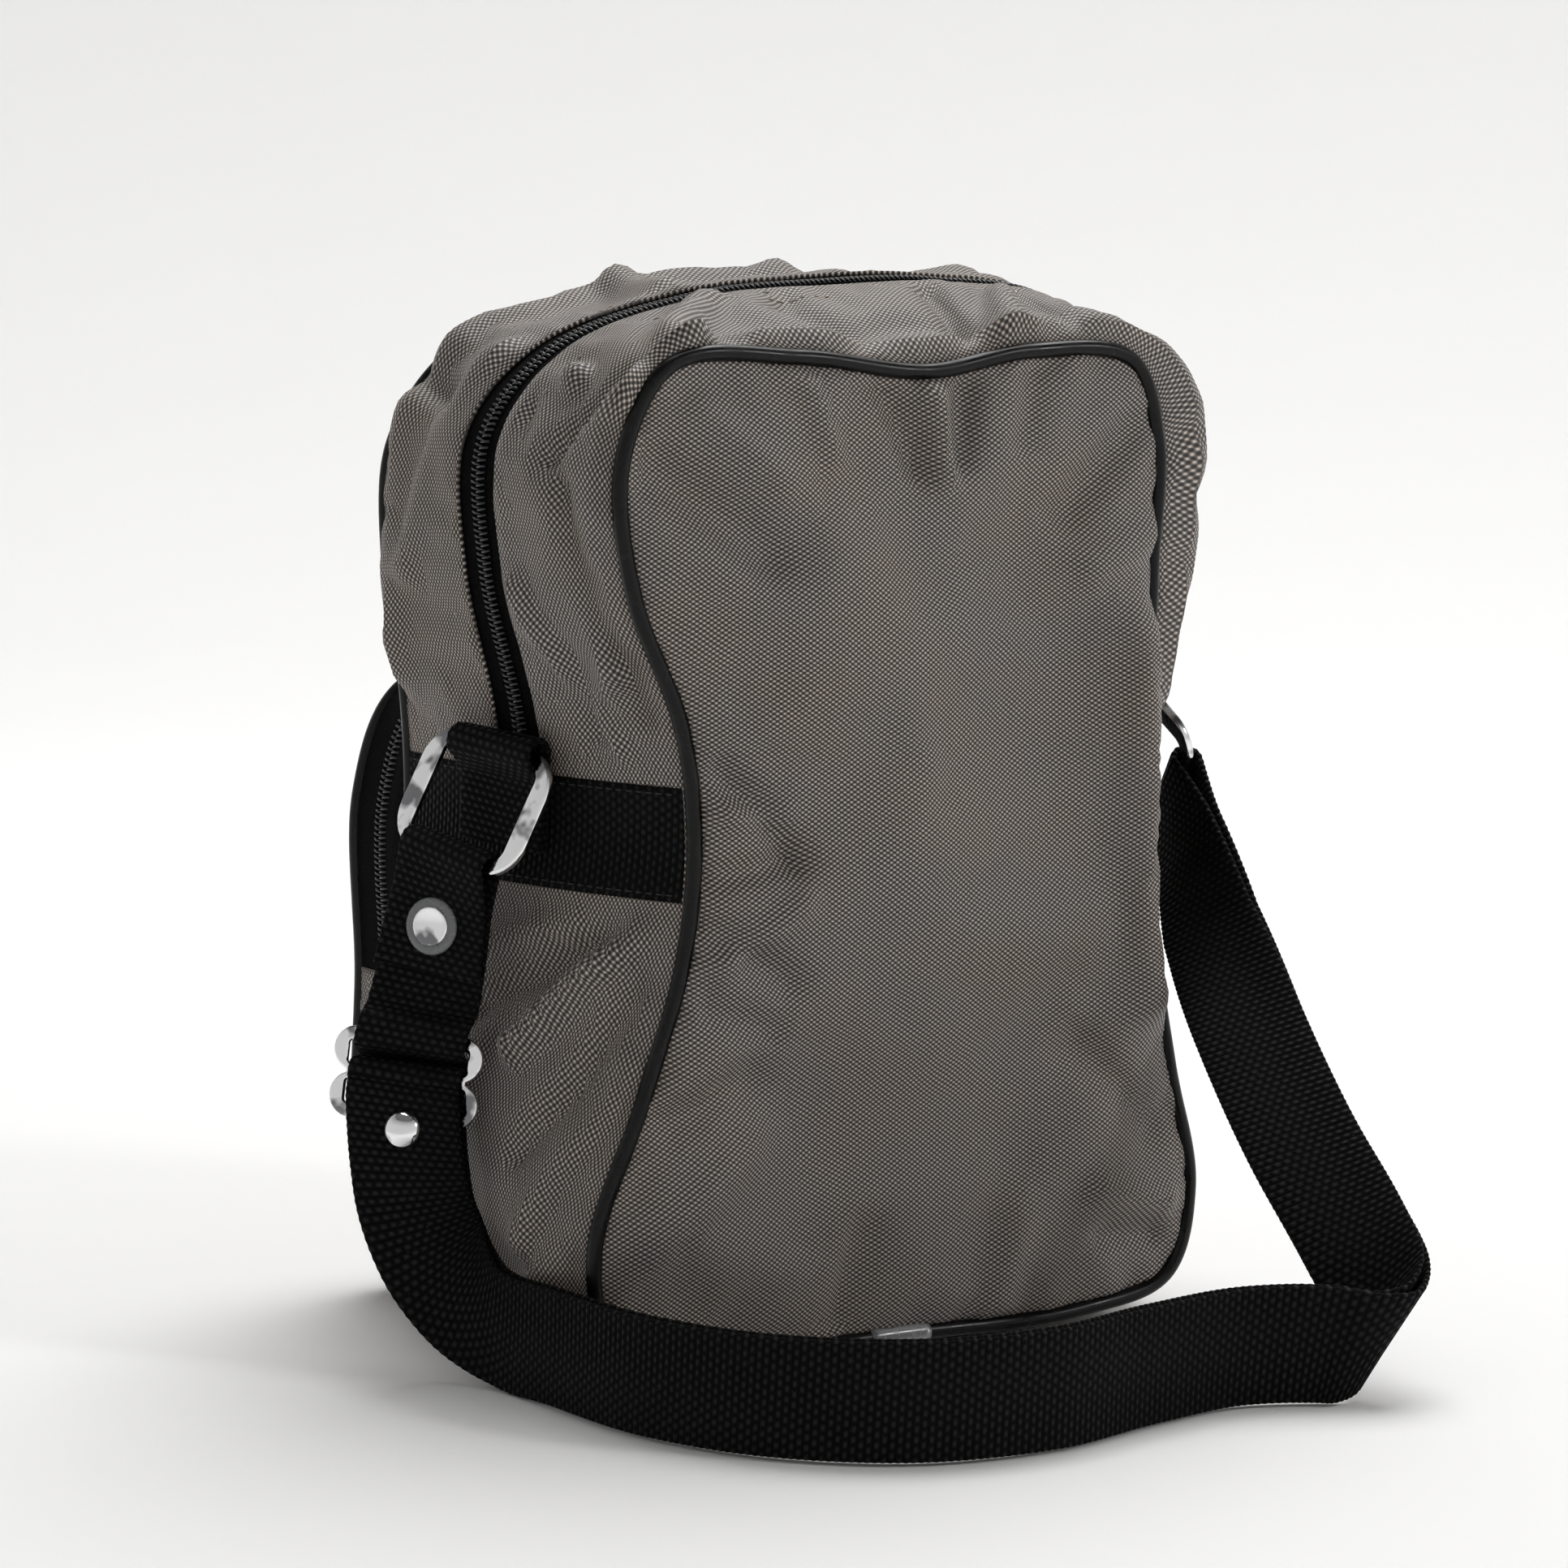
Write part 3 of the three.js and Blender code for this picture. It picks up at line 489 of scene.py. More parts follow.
def nylon_material():
    """Oxford nylon: staggered shiny floats on a ground, toned grey and brown in patches; the floats' light
    colour is partly the yarn's own and partly a painted highlight, and the near-black ground between them is
    partly painted shade.
    """
    s = Shader("taupe_nylon", (0.14, 0.125, 0.115), 0.6)
    s.set("Sheen Weight", 0.05)
    s.set("Sheen Roughness", 0.5)
    s.set("Specular IOR Level", 0.4)
    u, v = s.millimetres()
    wobble = s.math("MULTIPLY", s.noise(40), 1.6)
    warp = s.wave(s.math("ADD", u, wobble), NYLON_WEAVE[0])
    weft = s.wave(s.math("ADD", v, wobble), NYLON_WEAVE[1])
    product = s.math("MULTIPLY", warp, weft)
    floats = s.math("MULTIPLY_ADD", product, 0.5, 0.5)
    uneven = s.math("MULTIPLY_ADD", s.noise(1800, 1.0), 0.5, 0.75)
    light = s.math("MULTIPLY", s.math("POWER", floats, 3.0), uneven)
    # The near-black ground is partly painted shade between the floats, and the light yarn colour is partly a
    # painted highlight on them.
    brown_ground, grey_ground = (0.012, 0.0095, 0.008), (0.012, 0.0105, 0.0098)
    brown_yarn, grey_yarn = (0.7, 0.6, 0.52), (0.66, 0.59, 0.54)
    ground = s.mix(s.ramp(s.noise(22), [(0.38, 0.0), (0.62, 1.0)]), brown_ground, grey_ground)
    yarn = s.mix(s.ramp(s.noise(34), [(0.4, 0.0), (0.6, 1.0)]), brown_yarn, grey_yarn)
    colour = s.mix(light, ground, yarn)
    roughness = s.math("MULTIPLY_ADD", floats, -0.15, 0.68)
    return s.wear(colour, roughness, s.bump(floats, 0.16, 0.7))


def webbing_material():
    """Black ribbed webbing: rows of staggered knots across its width, its crevices painted near black as
    shade and its raised knots painted lighter as a highlight.
    """
    s = Shader("black_webbing", (0.012, 0.012, 0.0125), 0.55)
    s.set("Specular IOR Level", 0.12)
    u, v = s.millimetres()
    skewed = s.math("MULTIPLY_ADD", v, 0.06, u)
    rib = s.math("MULTIPLY_ADD", s.wave(skewed, RIB_PITCH), 0.5, 0.5)
    knots = s.math("MULTIPLY", s.wave(skewed, 2 * RIB_PITCH), s.wave(v, 2.6))
    knot = s.math("MULTIPLY_ADD", knots, 0.5, 0.5)
    yarn = s.wave(s.math("MULTIPLY_ADD", u, 0.7, v), 0.42)
    ribs_and_knots = s.math("MULTIPLY_ADD", rib, 0.6, s.math("MULTIPLY", knot, 0.5))
    height = s.math("MULTIPLY_ADD", yarn, 0.05, ribs_and_knots)
    raised = s.math("MULTIPLY", rib, knot)
    lint = s.ramp(s.noise(900, 1.0), [(0.74, 0.0), (0.82, 0.03)])
    # Painted shade and highlight: the crevices are painted near black and the raised knots painted lighter.
    colour = s.mix(raised, (0.0003, 0.0003, 0.0003), (0.011, 0.011, 0.0113))
    lit = s.mix(lint, colour, (0.5, 0.5, 0.5))
    roughness = s.math("MULTIPLY_ADD", raised, -0.5, 0.92)
    return s.wear(lit, roughness, s.bump(height, 0.42, 1.0))


def felt_material():
    """Black zip tape with a felted face."""
    s = Shader("black_tape", (0.012, 0.012, 0.012), 0.9)
    s.set("Specular IOR Level", 0.05)
    fuzz = s.noise(1500, 4.0)
    colour = s.ramp(fuzz, [(0.35, 0.0003), (0.7, 0.005)])
    return s.wear(colour, None, s.bump(fuzz, 0.25, 0.8))


def vinyl_material():
    """Smooth black vinyl with faint dents."""
    s = Shader("piping_vinyl", (0.002, 0.002, 0.002), 0.3)
    s.set("Specular IOR Level", 0.22)
    roughness = s.ramp(s.noise(160, 3.0), [(0.35, 0.22), (0.7, 0.42)])
    return s.wear(None, roughness, s.bump(s.noise(90, 3.0), 0.5, 0.35))


def coil_material():
    """Glossy black nylon wire."""
    s = Shader("zip_coil", (0.002, 0.002, 0.0022), 0.25)
    return s.wear(None, s.ramp(s.noise(400), [(0.3, 0.15), (0.7, 0.32)]))


def thread_material(name, base):
    """Sewing thread with a fine twist."""
    s = Shader(name, base, 0.6)
    u, _ = s.millimetres()
    return s.wear(None, None, s.bump(s.wave(u, 0.35), 0.05, 0.6))


def chrome_material():
    """Bright nickel plate with slight waviness and fine scratches, and dark patches in its colour that are
    painted reflections of dark surroundings.
    """
    s = Shader("chrome", (0.86, 0.86, 0.87), 0.1, 1.0)
    # Dark patches are painted into the plate's colour: painted reflections of dark surroundings, not
    # tarnish.
    painted_dark_reflections = s.ramp(s.noise(130, 2.0), [(0.4, (0.2, 0.2, 0.21)), (0.5, (0.86, 0.86, 0.87))])
    roughness = s.ramp(s.noise(700, 5.0), [(0.35, 0.05), (0.75, 0.2)])
    return s.wear(painted_dark_reflections, roughness, s.bump(s.noise(260, 2.0), 0.12, 0.35))


def smoke_material():
    """Smoky translucent plastic."""
    s = Shader("smoke_plastic", (0.2, 0.205, 0.21), 0.22)
    s.set("Transmission Weight", 0.35)
    s.set("IOR", 1.49)
    return s.wear(None, s.ramp(s.noise(500), [(0.3, 0.18), (0.7, 0.32)]))


def floor_material():
    s = Shader("pale_floor", (0.86, 0.857, 0.853), 0.9)
    s.set("Specular IOR Level", 0.1)
    return s.material


NYLON = nylon_material()
WEBBING = webbing_material()
FELT = felt_material()
VINYL = vinyl_material()
COIL = coil_material()
CHROME = chrome_material()
SMOKE = smoke_material()
TAUPE_THREAD = thread_material("taupe_thread", (0.3, 0.25, 0.21))
BLACK_THREAD = thread_material("black_thread", (0.015, 0.015, 0.016))


# ---- Camera, lights and floor ----
def add_camera():
    data = bpy.data.cameras.new("camera")
    data.sensor_width = 36
    data.lens = 119.8
    camera = bpy.data.objects.new("camera", data)
    bpy.context.scene.collection.objects.link(camera)
    azimuth, elevation, distance = math.radians(-31), math.radians(7.3), 1.4
    aim = Vector((-0.002, 0, 0.146))
    level = math.cos(elevation)
    back = Vector((math.sin(azimuth) * level, -math.cos(azimuth) * level, math.sin(elevation)))
    camera.location = aim + distance * back
    camera.rotation_euler = (-back).to_track_quat("-Z", "Y").to_euler()
    bpy.context.scene.camera = camera


def add_light(name, place, aim, size, power):
    data = bpy.data.lights.new(name, "AREA")
    data.shape = "DISK"
    data.size = size
    data.energy = power
    light = bpy.data.objects.new(name, data)
    bpy.context.scene.collection.objects.link(light)
    light.location = place
    light.rotation_euler = (Vector(aim) - Vector(place)).to_track_quat("-Z", "Y").to_euler()


def add_stage():
    """A floor that curves up into a backdrop far behind, all round, so that no edge shows."""
    radius, rise, bend = 3.0, 4.0, 1.5
    profile = [(0, 0), (radius - bend, 0)]
    profile += [(radius - bend + bend * math.sin(a), bend * (1 - math.cos(a)))
                for a in np.linspace(0, math.pi / 2, 12)[1:]]
    profile.append((radius, rise))
    angle = np.linspace(0, 2 * np.pi, 64, endpoint=False)
    rows = np.array([[(r * math.cos(a), r * math.sin(a), z) for a in angle] for r, z in profile]) / MM
    floor = grid_piece("floor", rows, range(len(profile)), range(65), wrap=True)
    floor.data.materials.append(floor_material())


def add_world():
    world = bpy.data.worlds.new("studio")
    world.use_nodes = True
    world.node_tree.nodes["Background"].inputs[0].default_value = (1, 1, 1, 1)
    world.node_tree.nodes["Background"].inputs[1].default_value = 0.14
    bpy.context.scene.world = world


# ---- Strap ----
route_centres = Curve([station[:3] for station in STRAP_ROUTE])
route_across = Curve([station[3:] for station in STRAP_ROUTE])
route_length = route_centres.length


def distance_of_station(station):
    t = station / (len(STRAP_ROUTE) - 1)
    return np.interp(t, np.linspace(0, 1, len(route_centres.reached)), route_centres.reached)


def route_frames(distance):
    """Centre, across direction and outward direction of the doubled strap at distances along its route."""
    t = route_centres.parameter(distance)
    ahead = route_centres.at(np.minimum(t + 1e-4, 1)) - route_centres.at(np.maximum(t - 1e-4, 0))
    across = unit(route_across.at(t))
    return route_centres.at(t), across, unit(np.cross(unit(ahead), across))


def route_frame(distance):
    """Centre, across direction and outward direction at one distance."""
    return [part[0] for part in route_frames(np.array([distance]))]


def path_through(path):
    """Centres and across directions through [distance along the route, height above it] points."""
    path = np.array(path, float)
    centre, across, normal = route_frames(path[:, 0])
    return centre + path[:, 1:] * normal, across


def smooth_run(centres, across, step):
    """A run resampled evenly on a smooth curve: centres, across and normal directions."""
    line = Curve(centres)
    sides = Curve(across)
    count = max(2, int(round(line.length / step)) + 1)
    t = line.parameter(np.linspace(0, line.length, count))
    middle = line.at(t)
    width = unit(sides.at(t))
    return middle, width, unit(np.cross(directions(middle), width))


SAMPLES_PER_RIB = 4


def webbing_section():
    """Half-round edges and flat faces of webbing, as [across, out] points round its section."""
    half, edge = WEBBING_WIDTH / 2, WEBBING_THICKNESS / 2
    flat = np.linspace(-half + edge, half - edge, 9)
    turn = np.linspace(-math.pi / 2, math.pi / 2, 5)
    top = [[a, edge] for a in flat[::-1]]
    left = [[-half + edge - edge * math.cos(t), -edge * math.sin(t)] for t in turn[1:-1]]
    bottom = [[a, -edge] for a in flat]
    right = [[half - edge + edge * math.cos(t), edge * math.sin(t)] for t in turn[1:-1]]
    return np.array(top + left + bottom + right)


def webbing_piece(name, centres, across, start=0.0, taper_ends=(False, False)):
    """Ribbed webbing along centres. start is the length of webbing before it, so that ribs run on."""
    middle, width, normal = smooth_run(centres, across, RIB_PITCH / SAMPLES_PER_RIB)
    along = lengths_along(middle) + start
    section = webbing_section()
    rib = np.cos(2 * np.pi * along / RIB_PITCH)
    scale = np.stack([1 + 0.006 * rib, 1 + 0.16 * rib], -1)
    for end, place in zip(taper_ends, (0, -1)):
        if end:
            near = np.abs(along - along[place])
            scale[:, 1] *= 0.55 + 0.45 * np.clip(near / 1.6, 0, 1)
    rows = (middle[:, None] + (section[None, :, :1] * scale[:, None, :1]) * width[:, None]
            + (section[None, :, 1:] * scale[:, None, 1:]) * normal[:, None])
    around = np.concatenate([section, section[:1]])
    return grid_piece(name, rows, along, lengths_along(around), wrap=True, caps=True), middle, along[-1]


def tab_basis(side, slant):
    """Directions along the fold of a ring tab, up it and out of the gusset."""
    out = np.array([side * math.cos(TAB_TILT), -math.sin(TAB_TILT), 0])
    level = np.cross([0, 0, 1], out)
    up = np.array([0, 0, math.cos(slant)]) + math.sin(slant) * level
    return np.array([np.cross(up, out), up, out])


TABS = {
    "left": {"hinge": np.array([-89, -1, 161.5]), "basis": tab_basis(-1, math.radians(10)),
             "fold": tab_basis(-1, math.radians(4))},
    "right": {"hinge": np.array([108, 6, 158]), "basis": tab_basis(1, math.radians(45)),
              "fold": tab_basis(1, math.radians(45))}}
DROP = RING_OPENING[1] + RING_BAR
STRAP_LOOP_RADIUS = 3.7
HALF_PITCH = LAYER_PITCH / 2


def swung_basis(word):
    """The ring's own directions: along its hinge, up its plate and out of its plate."""
    along, up, out = TABS[word]["basis"]
    return np.array([
        along, up * math.cos(RING_SWING) - out * math.sin(RING_SWING),
        up * math.sin(RING_SWING) + out * math.cos(RING_SWING)])


def ring_bar_centre(word):
    return TABS[word]["hinge"] - DROP * swung_basis(word)[1]


def loop_points(word, sign, target, front_share):
    """Webbing round a ring's lower bar, from the end of its front leg to the end of its back leg."""
    bar = ring_bar_centre(word)
    end, end_across = target
    down = unit(end - bar)
    bar_across = TABS[word]["basis"][0] * sign

    def leg(direction, share):
        across = unit(bar_across + (end_across - bar_across) * share)
        spread = STRAP_LOOP_RADIUS + (HALF_PITCH - STRAP_LOOP_RADIUS) * min(1, share * 3)
        return bar + (end - bar) * share + np.cross(down, across) * direction * spread, across

    shares = np.linspace(0, 1, 9)[1:]
    front = [leg(1, share * front_share) for share in shares[::-1]]
    turn = []
    for angle in np.linspace(math.pi / 2, 1.5 * math.pi, 7):
        outward = down * math.cos(angle) + np.cross(down, bar_across) * math.sin(angle)
        turn.append((bar + outward * STRAP_LOOP_RADIUS, bar_across))
    back = [leg(-1, share) for share in shares]
    points = front + turn + back
    return np.array([p for p, _ in points]), np.array([a for _, a in points])


ADJUSTER_DISTANCE = distance_of_station(ADJUSTER_STATION)
BAR_CLEAR = 2.8
FOLD_HEIGHT = BAR_CLEAR + WEBBING_THICKNESS + 0.25
DOME_DISTANCE = 14.2
LONG_START = ADJUSTER_DISTANCE + 46


def long_run(height):
    return [[d, height] for d in np.linspace(LONG_START, route_length, 60)]


def rear_layer_path():
    """From the left leg, over the adjuster's near bar, down its slot and on to the right ring."""
    start = distance_of_station(LEG_END_STATION) - ADJUSTER_DISTANCE
    near = [[start, -HALF_PITCH], [-17.5, -0.7], [-15, 2.2], [-12, BAR_CLEAR], [-8.6, 2.5], [-6.9, 0.6],
            [-6.1, -1.4], [-5.0, -3.9], [-3.2, -5.3], [0, -5.7], [9, -5.3], [20, -3.6], [34, -1.8]]
    return [[ADJUSTER_DISTANCE + d, h] for d, h in near] + long_run(-HALF_PITCH)


def front_layer_path():
    """From its folded end, round the adjuster's middle bar and over itself to the right ring."""
    radius = 2 + 0.55 + WEBBING_THICKNESS / 2
    angles = np.linspace(-0.667, -3.333, 9) * math.pi / 2
    turn = [[radius * math.cos(a), radius * math.sin(a)] for a in angles]
    near = [[24, BAR_CLEAR], [17, BAR_CLEAR], [10, BAR_CLEAR - 0.1], [7.0, 0.9], [4.6, -1.6], *turn,
            [5.5, FOLD_HEIGHT - 0.3], [14, FOLD_HEIGHT], [24, FOLD_HEIGHT - 0.3], [34, 2.6]]
    return [[ADJUSTER_DISTANCE + d, h] for d, h in near] + long_run(HALF_PITCH)


def add_strap():
    """One length of webbing in four pieces: the two ends round the rings and the two layers that go with the
    bag.
    """
    left_target = route_frame(distance_of_station(LEG_END_STATION))[:2]
    centres, across = loop_points("left", 1, left_target, 0.82)
    rear, rear_across = path_through(rear_layer_path())
    left, _, used = webbing_piece("strap_left_end", centres, across, 0.0, (True, False))
    finish_webbing(left, None, "strap_left_end")
    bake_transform(left)
    rear_piece, rear_line, used = webbing_piece("strap_rear_layer", rear, rear_across, used)
    finish_webbing(rear_piece, "bag", "strap_rear_layer")
    right_target = route_frame(route_length)[:2]
    centres, across = loop_points("right", -1, right_target, 1)
    right, _, used = webbing_piece("strap_right_end", centres, across, used)
    finish_webbing(right, None, "strap_right_end")
    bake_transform(right)
    front, front_across = path_through(front_layer_path())
    front_piece, front_line, _ = webbing_piece(
        "strap_front_layer", front, front_across, used, (True, False))
    finish_webbing(front_piece, "bag", "strap_front_layer")


add_camera()
add_world()
add_stage()
add_strap()


# ---- Walls of the bag ----
def wall_surface(outlines, back, front):
    """Returns a function from station u and depth y to the wall's point and outward direction."""
    curves = [outline_curve(outline) for outline in outlines]
    stations = len(outlines[0])

    def surface(u, y):
        u, y = np.broadcast_arrays(np.asarray(u, float), np.asarray(y, float))
        share = (2 * (y - back) / (front - back) - 1)[..., None]
        behind, middle, ahead = (curve.at(u / stations) for curve in curves)
        point = (behind * (share**2 - share) / 2 + middle * (1 - share**2)
                 + ahead * (share**2 + share) / 2)
        point[..., 1] = y
        point[..., 2] = np.maximum(point[..., 2], 0)
        step = 0.01
        along = unit(curves[1].at((u + step) / stations) - curves[1].at((u - step) / stations))
        return point, np.stack([-along[..., 2], np.zeros_like(y), along[..., 0]], -1)

    return surface


body = wall_surface([BACK_OUTLINE, MIDDLE_OUTLINE, FRONT_OUTLINE], -HALF_DEPTH, HALF_DEPTH)
pocket = wall_surface([POCKET_OUTLINE] * 3, POCKET_BACK, POCKET_PLANE)


def fold_heights(points, folds):
    """Height of folds at points. A fold is its ends, its half width and its height, below 0 for a hollow."""
    total = np.zeros(points.shape[:-1])
    for start, end, width, height in folds:
        start, end = np.array(start, float), np.array(end, float)
        run = end - start
        share = np.clip(((points - start) @ run) / (run @ run), 0, 1)
        distance = np.linalg.norm(points - start - share[..., None] * run, axis=-1)
        total += height * np.exp(-((distance / width) ** 2))
    return total


def ripple(points, size, depth, seed):
    """Soft unevenness: smooth noise with features of the given size, in millimetres."""
    offset = Vector((seed * 7.3, seed * 3.1, seed * 5.7))
    flat = points.reshape(-1, 3)
    values = [noise.noise(Vector(p) / size + offset) for p in flat]
    return depth * np.array(values).reshape(points.shape[:-1])


def seam_fade(distance, reach):
    """0 at a seam, rising smoothly to 1 at reach."""
    t = np.clip(distance / reach, 0, 1)
    return t * t * (3 - 2 * t)


def puckers(u, distance, pitch, depth, seed):
    """Short gathers that run into a seam: they vary along the seam and fade with distance from it."""
    wave = np.array([noise.noise(Vector((x / pitch, seed, 0))) for x in u.ravel()]).reshape(u.shape)
    return depth * wave * np.exp(-distance / 9) * seam_fade(distance, 2.5)


# Folds of the gusset, from and to [station, depth].
GUSSET_FOLDS = [
    # Creases that fan out from the left end of the back panel's top edge.
    ([9.7, -24], [7.4, -42], 4, 5.6), ([9.3, -14], [6.9, -30], 4, -4.2), ([8.7, -36], [7.1, -48], 4, -4.8),
    ([7.9, -14], [6.8, -36], 4, 3.6), ([10.3, -40], [10.9, -14], 5, 4.2),
    ([9.9, -46], [8.9, -30], 3.5, -4.5),
    # The rolled edge that hangs over the panel's left corner and its top.
    ([9.5, -50], [10.3, -50], 5, 14.0), ([8.6, -50], [9.1, -50], 4, 4.2),
    ([10.8, -49], [13.0, -50], 5, 5.6),
    # Gathers across the top.
    ([12.8, -50], [13.2, -24], 4, 4.8), ([12.5, -48], [12.6, -20], 3.5, -4.2),
    ([13.4, -46], [13.3, -22], 3.5, -3.6),
    ([14.0, -42], [14.4, -18], 5, -3.4), ([11.6, -46], [11.4, -22], 6, -3.4),
    ([15.8, -32], [17.2, -22], 6, -3.6),
    # The far half: bulges that hide the front piping, and a peak at the far corner.
    ([7.3, 47], [9.4, 47], 8, 6.5), ([9.9, 46], [12.4, 47], 8, 7.0), ([9.8, 14], [8.0, 36], 6, 4.8),
    ([9.4, 28], [9.5, 50], 5, -4.5), ([11.0, 14], [11.1, 46], 6, 4.2), ([13.8, 34], [14.2, 48], 8, 5.2),
    ([12.8, 18], [12.9, 44], 7, -3.4), ([16.8, 20], [17.4, 46], 6, 3.4),
    # The lower left side, creased from the band down to the floor.
    ([29.4, -47], [28.2, -10], 4.5, 6.4), ([29.2, -34], [28.4, 8], 4.5, -5.0),
    ([28.8, -48], [27.5, -22], 4.5, -5.0),
    ([28.2, -50], [27.0, -30], 4.5, 4.5), ([29.3, -20], [28.9, 14], 4, 3.6),
    ([29.4, 16], [28.2, 42], 6, 4.2),
    ([28.2, 18], [27.1, 42], 7, -3.6), ([26.9, -44], [25.8, -10], 6, 3.6),
    # The lower right side.
    ([18.7, -44], [20.2, -20], 6, 4.2), ([19.2, -30], [20.9, 4], 7, -4.2), ([19.0, 18], [20.4, 42], 6, 4.2)]
# How far the cloth stands out beside the back panel's right edge, as [station, height].
SHOULDER = [[12.8, 0], [13.5, 5], [14.2, 9.5], [14.8, 13.5], [16.0, 12.5], [16.9, 7], [17.5, 0]]
SHOULDER_DEPTH = -47
SHOULDER_WIDTH = 10
# Folds of the back panel, from and to [x, z].
BACK_FOLDS = [
    ([-56, 160], [-36, 136], 4, -4.2), ([-56, 148], [-40, 147], 3, 3.6),
    ([-58, 132], [-38, 136], 3.5, -3.6),
    ([-60, 120], [-38, 104], 4, -3.9), ([-56, 110], [-36, 124], 3.5, 3.4),
    ([-60, 98], [-42, 92], 3.5, -2.9),
    ([-72, 236], [-44, 214], 7, -6.0), ([-60, 250], [-40, 232], 5, 3.1), ([-6, 256], [2, 234], 4, -4.4),
    ([8, 257], [10, 232], 3.5, 4.4), ([20, 257], [15, 236], 4, -4.4), ([-30, 260], [-24, 238], 4, 3.1),
    ([40, 260], [36, 240], 4, -2.6), ([70, 242], [50, 222], 6, -4.4), ([76, 214], [56, 206], 5, 3.1),
    ([74, 92], [72, 186], 9, 7.0), ([-76, 40], [-48, 62], 7, 3.9),
    ([-70, 70], [-48, 80], 6, -3.1), ([78, 56], [52, 78], 7, -3.9), ([-20, 12], [-14, 36], 4, -3.1),
    ([30, 10], [34, 36], 5, 3.1), ([82, 34], [58, 40], 4, 4.4), ([80, 24], [62, 26], 3.5, -3.6),
    ([-30, 200], [20, 120], 26, 2.9), ([36, 210], [30, 90], 22, -3.1), ([-40, 70], [30, 50], 20, -2.6)]


def surface_folds(surface, folds):
    """Folds given by stations and depths on a surface, as folds between points."""
    return [(surface(*start)[0], surface(*end)[0], width, height) for start, end, width, height in folds]


def station_grid(stations, depths, rows, columns):
    return np.meshgrid(np.linspace(*stations, rows), np.linspace(*depths, columns), indexing="ij")


def beside_band(u):
    """0 under the side bands, where the cloth is sewn flat, and 1 away from them."""
    away = np.minimum(np.abs(u % BODY_STATIONS - LEFT_SEAM), np.abs(u % BODY_STATIONS - RIGHT_SEAM))
    return seam_fade(away - BAND_REACH, 0.5)


ROWS_PER_STATION = 13
COLUMN_WIDTH = 2.6
LOW_CLOTH = 12  # the cloth lies flatter below this height


def gusset_height(u, y, point, along, edge, seed):
    """How far the gusset's cloth stands off the wall."""
    height = fold_heights(point, surface_folds(body, GUSSET_FOLDS)) * seam_fade(edge, 7)
    height += ripple(point, 26, 2.2, seed) * seam_fade(edge, 8)
    beside_panel = np.exp(-(((y - SHOULDER_DEPTH) / SHOULDER_WIDTH) ** 2))
    height += np.interp(u, *np.transpose(SHOULDER)) * beside_panel * seam_fade(edge, 7)
    height += puckers(along, edge, 9, 2.0, seed)
    return height


def add_gusset_piece(name, stations, depths, seed):
    """A strip of the body's wall, sewn along both sides and under the side bands."""
    rows = int((stations[1] - stations[0]) * ROWS_PER_STATION)
    columns = max(16, int((depths[1] - depths[0]) / COLUMN_WIDTH))
    u, y = station_grid(stations, depths, rows, columns)
    point, out = body(u, y)
    edge = np.minimum(y - depths[0], depths[1] - y)
    along = lengths_along(body(np.linspace(*stations, rows), 0)[0])[:, None] + 0 * y
    height = gusset_height(u, y, point, along, edge, seed)
    lifted = np.clip(point[..., 2] / LOW_CLOTH, 0, 1) * beside_band(u)
    # Beside the back panel the folds roll backwards over its edge.
    roll = (0.8 - 0.6 * out[..., 0]) * seam_fade(-30 - y, 20)
    lean = unit(out + roll[..., None] * np.array([0.0, -1.0, 0.0]))
    point = point + lean * (height * lifted)[..., None]
    point[..., 2] = np.maximum(point[..., 2], FLOOR_CLEARANCE)
    piece = sheet_piece(name, point, along, y)
    relax(piece, seam_fade(edge, 5) * lifted, 0.018, 0.6, 3.5)
    return finish_cloth(piece, name)


def coons_grid(curve, corners, rows, columns):
    """A grid that fills a closed outline between four corner stations: left, top, right, bottom sides."""
    count = len(curve.points)
    a, b, c, d = corners
    left = curve.at(np.linspace(a, b, rows) / count)
    top = curve.at(np.linspace(b, c, columns) / count)
    right = curve.at(np.linspace(d, c, rows) / count)
    bottom = curve.at(np.linspace(a + count, d, columns) / count)
    s, t = np.meshgrid(np.linspace(0, 1, rows), np.linspace(0, 1, columns), indexing="ij")
    s, t = s[..., None], t[..., None]
    corners_part = ((1 - s) * (1 - t) * left[0] + (1 - s) * t * right[0]
                    + s * (1 - t) * left[-1] + s * t * right[-1])
    sides = (1 - t) * left[:, None] + t * right[:, None] + (1 - s) * bottom[None] + s * top[None]
    return sides - corners_part, s[..., 0], t[..., 0]


PANEL_GRID = (96, 66)
PANEL_SIZE = (250, 160)  # height and width, for distances from the rim
PANEL_TUCK = 1.2


def panel_height(s, t, place, centre, crown, folds, seed):
    """How far a panel's cloth stands out of its rim's plane, and how far each point is from the rim."""
    rim = np.minimum(np.minimum(s, 1 - s) * PANEL_SIZE[0], np.minimum(t, 1 - t) * PANEL_SIZE[1])
    height = crown * (1 - np.abs(2 * s - 1) ** 3.5) ** 0.8 * (1 - np.abs(2 * t - 1) ** 3.0) ** 0.8
    segments = [((a[0], 0, a[1]), (b[0], 0, b[1]), width, high) for a, b, width, high in folds]
    height = height + fold_heights(place, segments) * seam_fade(rim, 6)
    height += ripple(place, 34, 2.4, seed) * seam_fade(rim, 12)
    round_seam = np.arctan2(place[..., 2] - centre[1], place[..., 0] - centre[0]) * 110
    height += puckers(round_seam, rim, 7, 3.4, seed)
    return height, rim


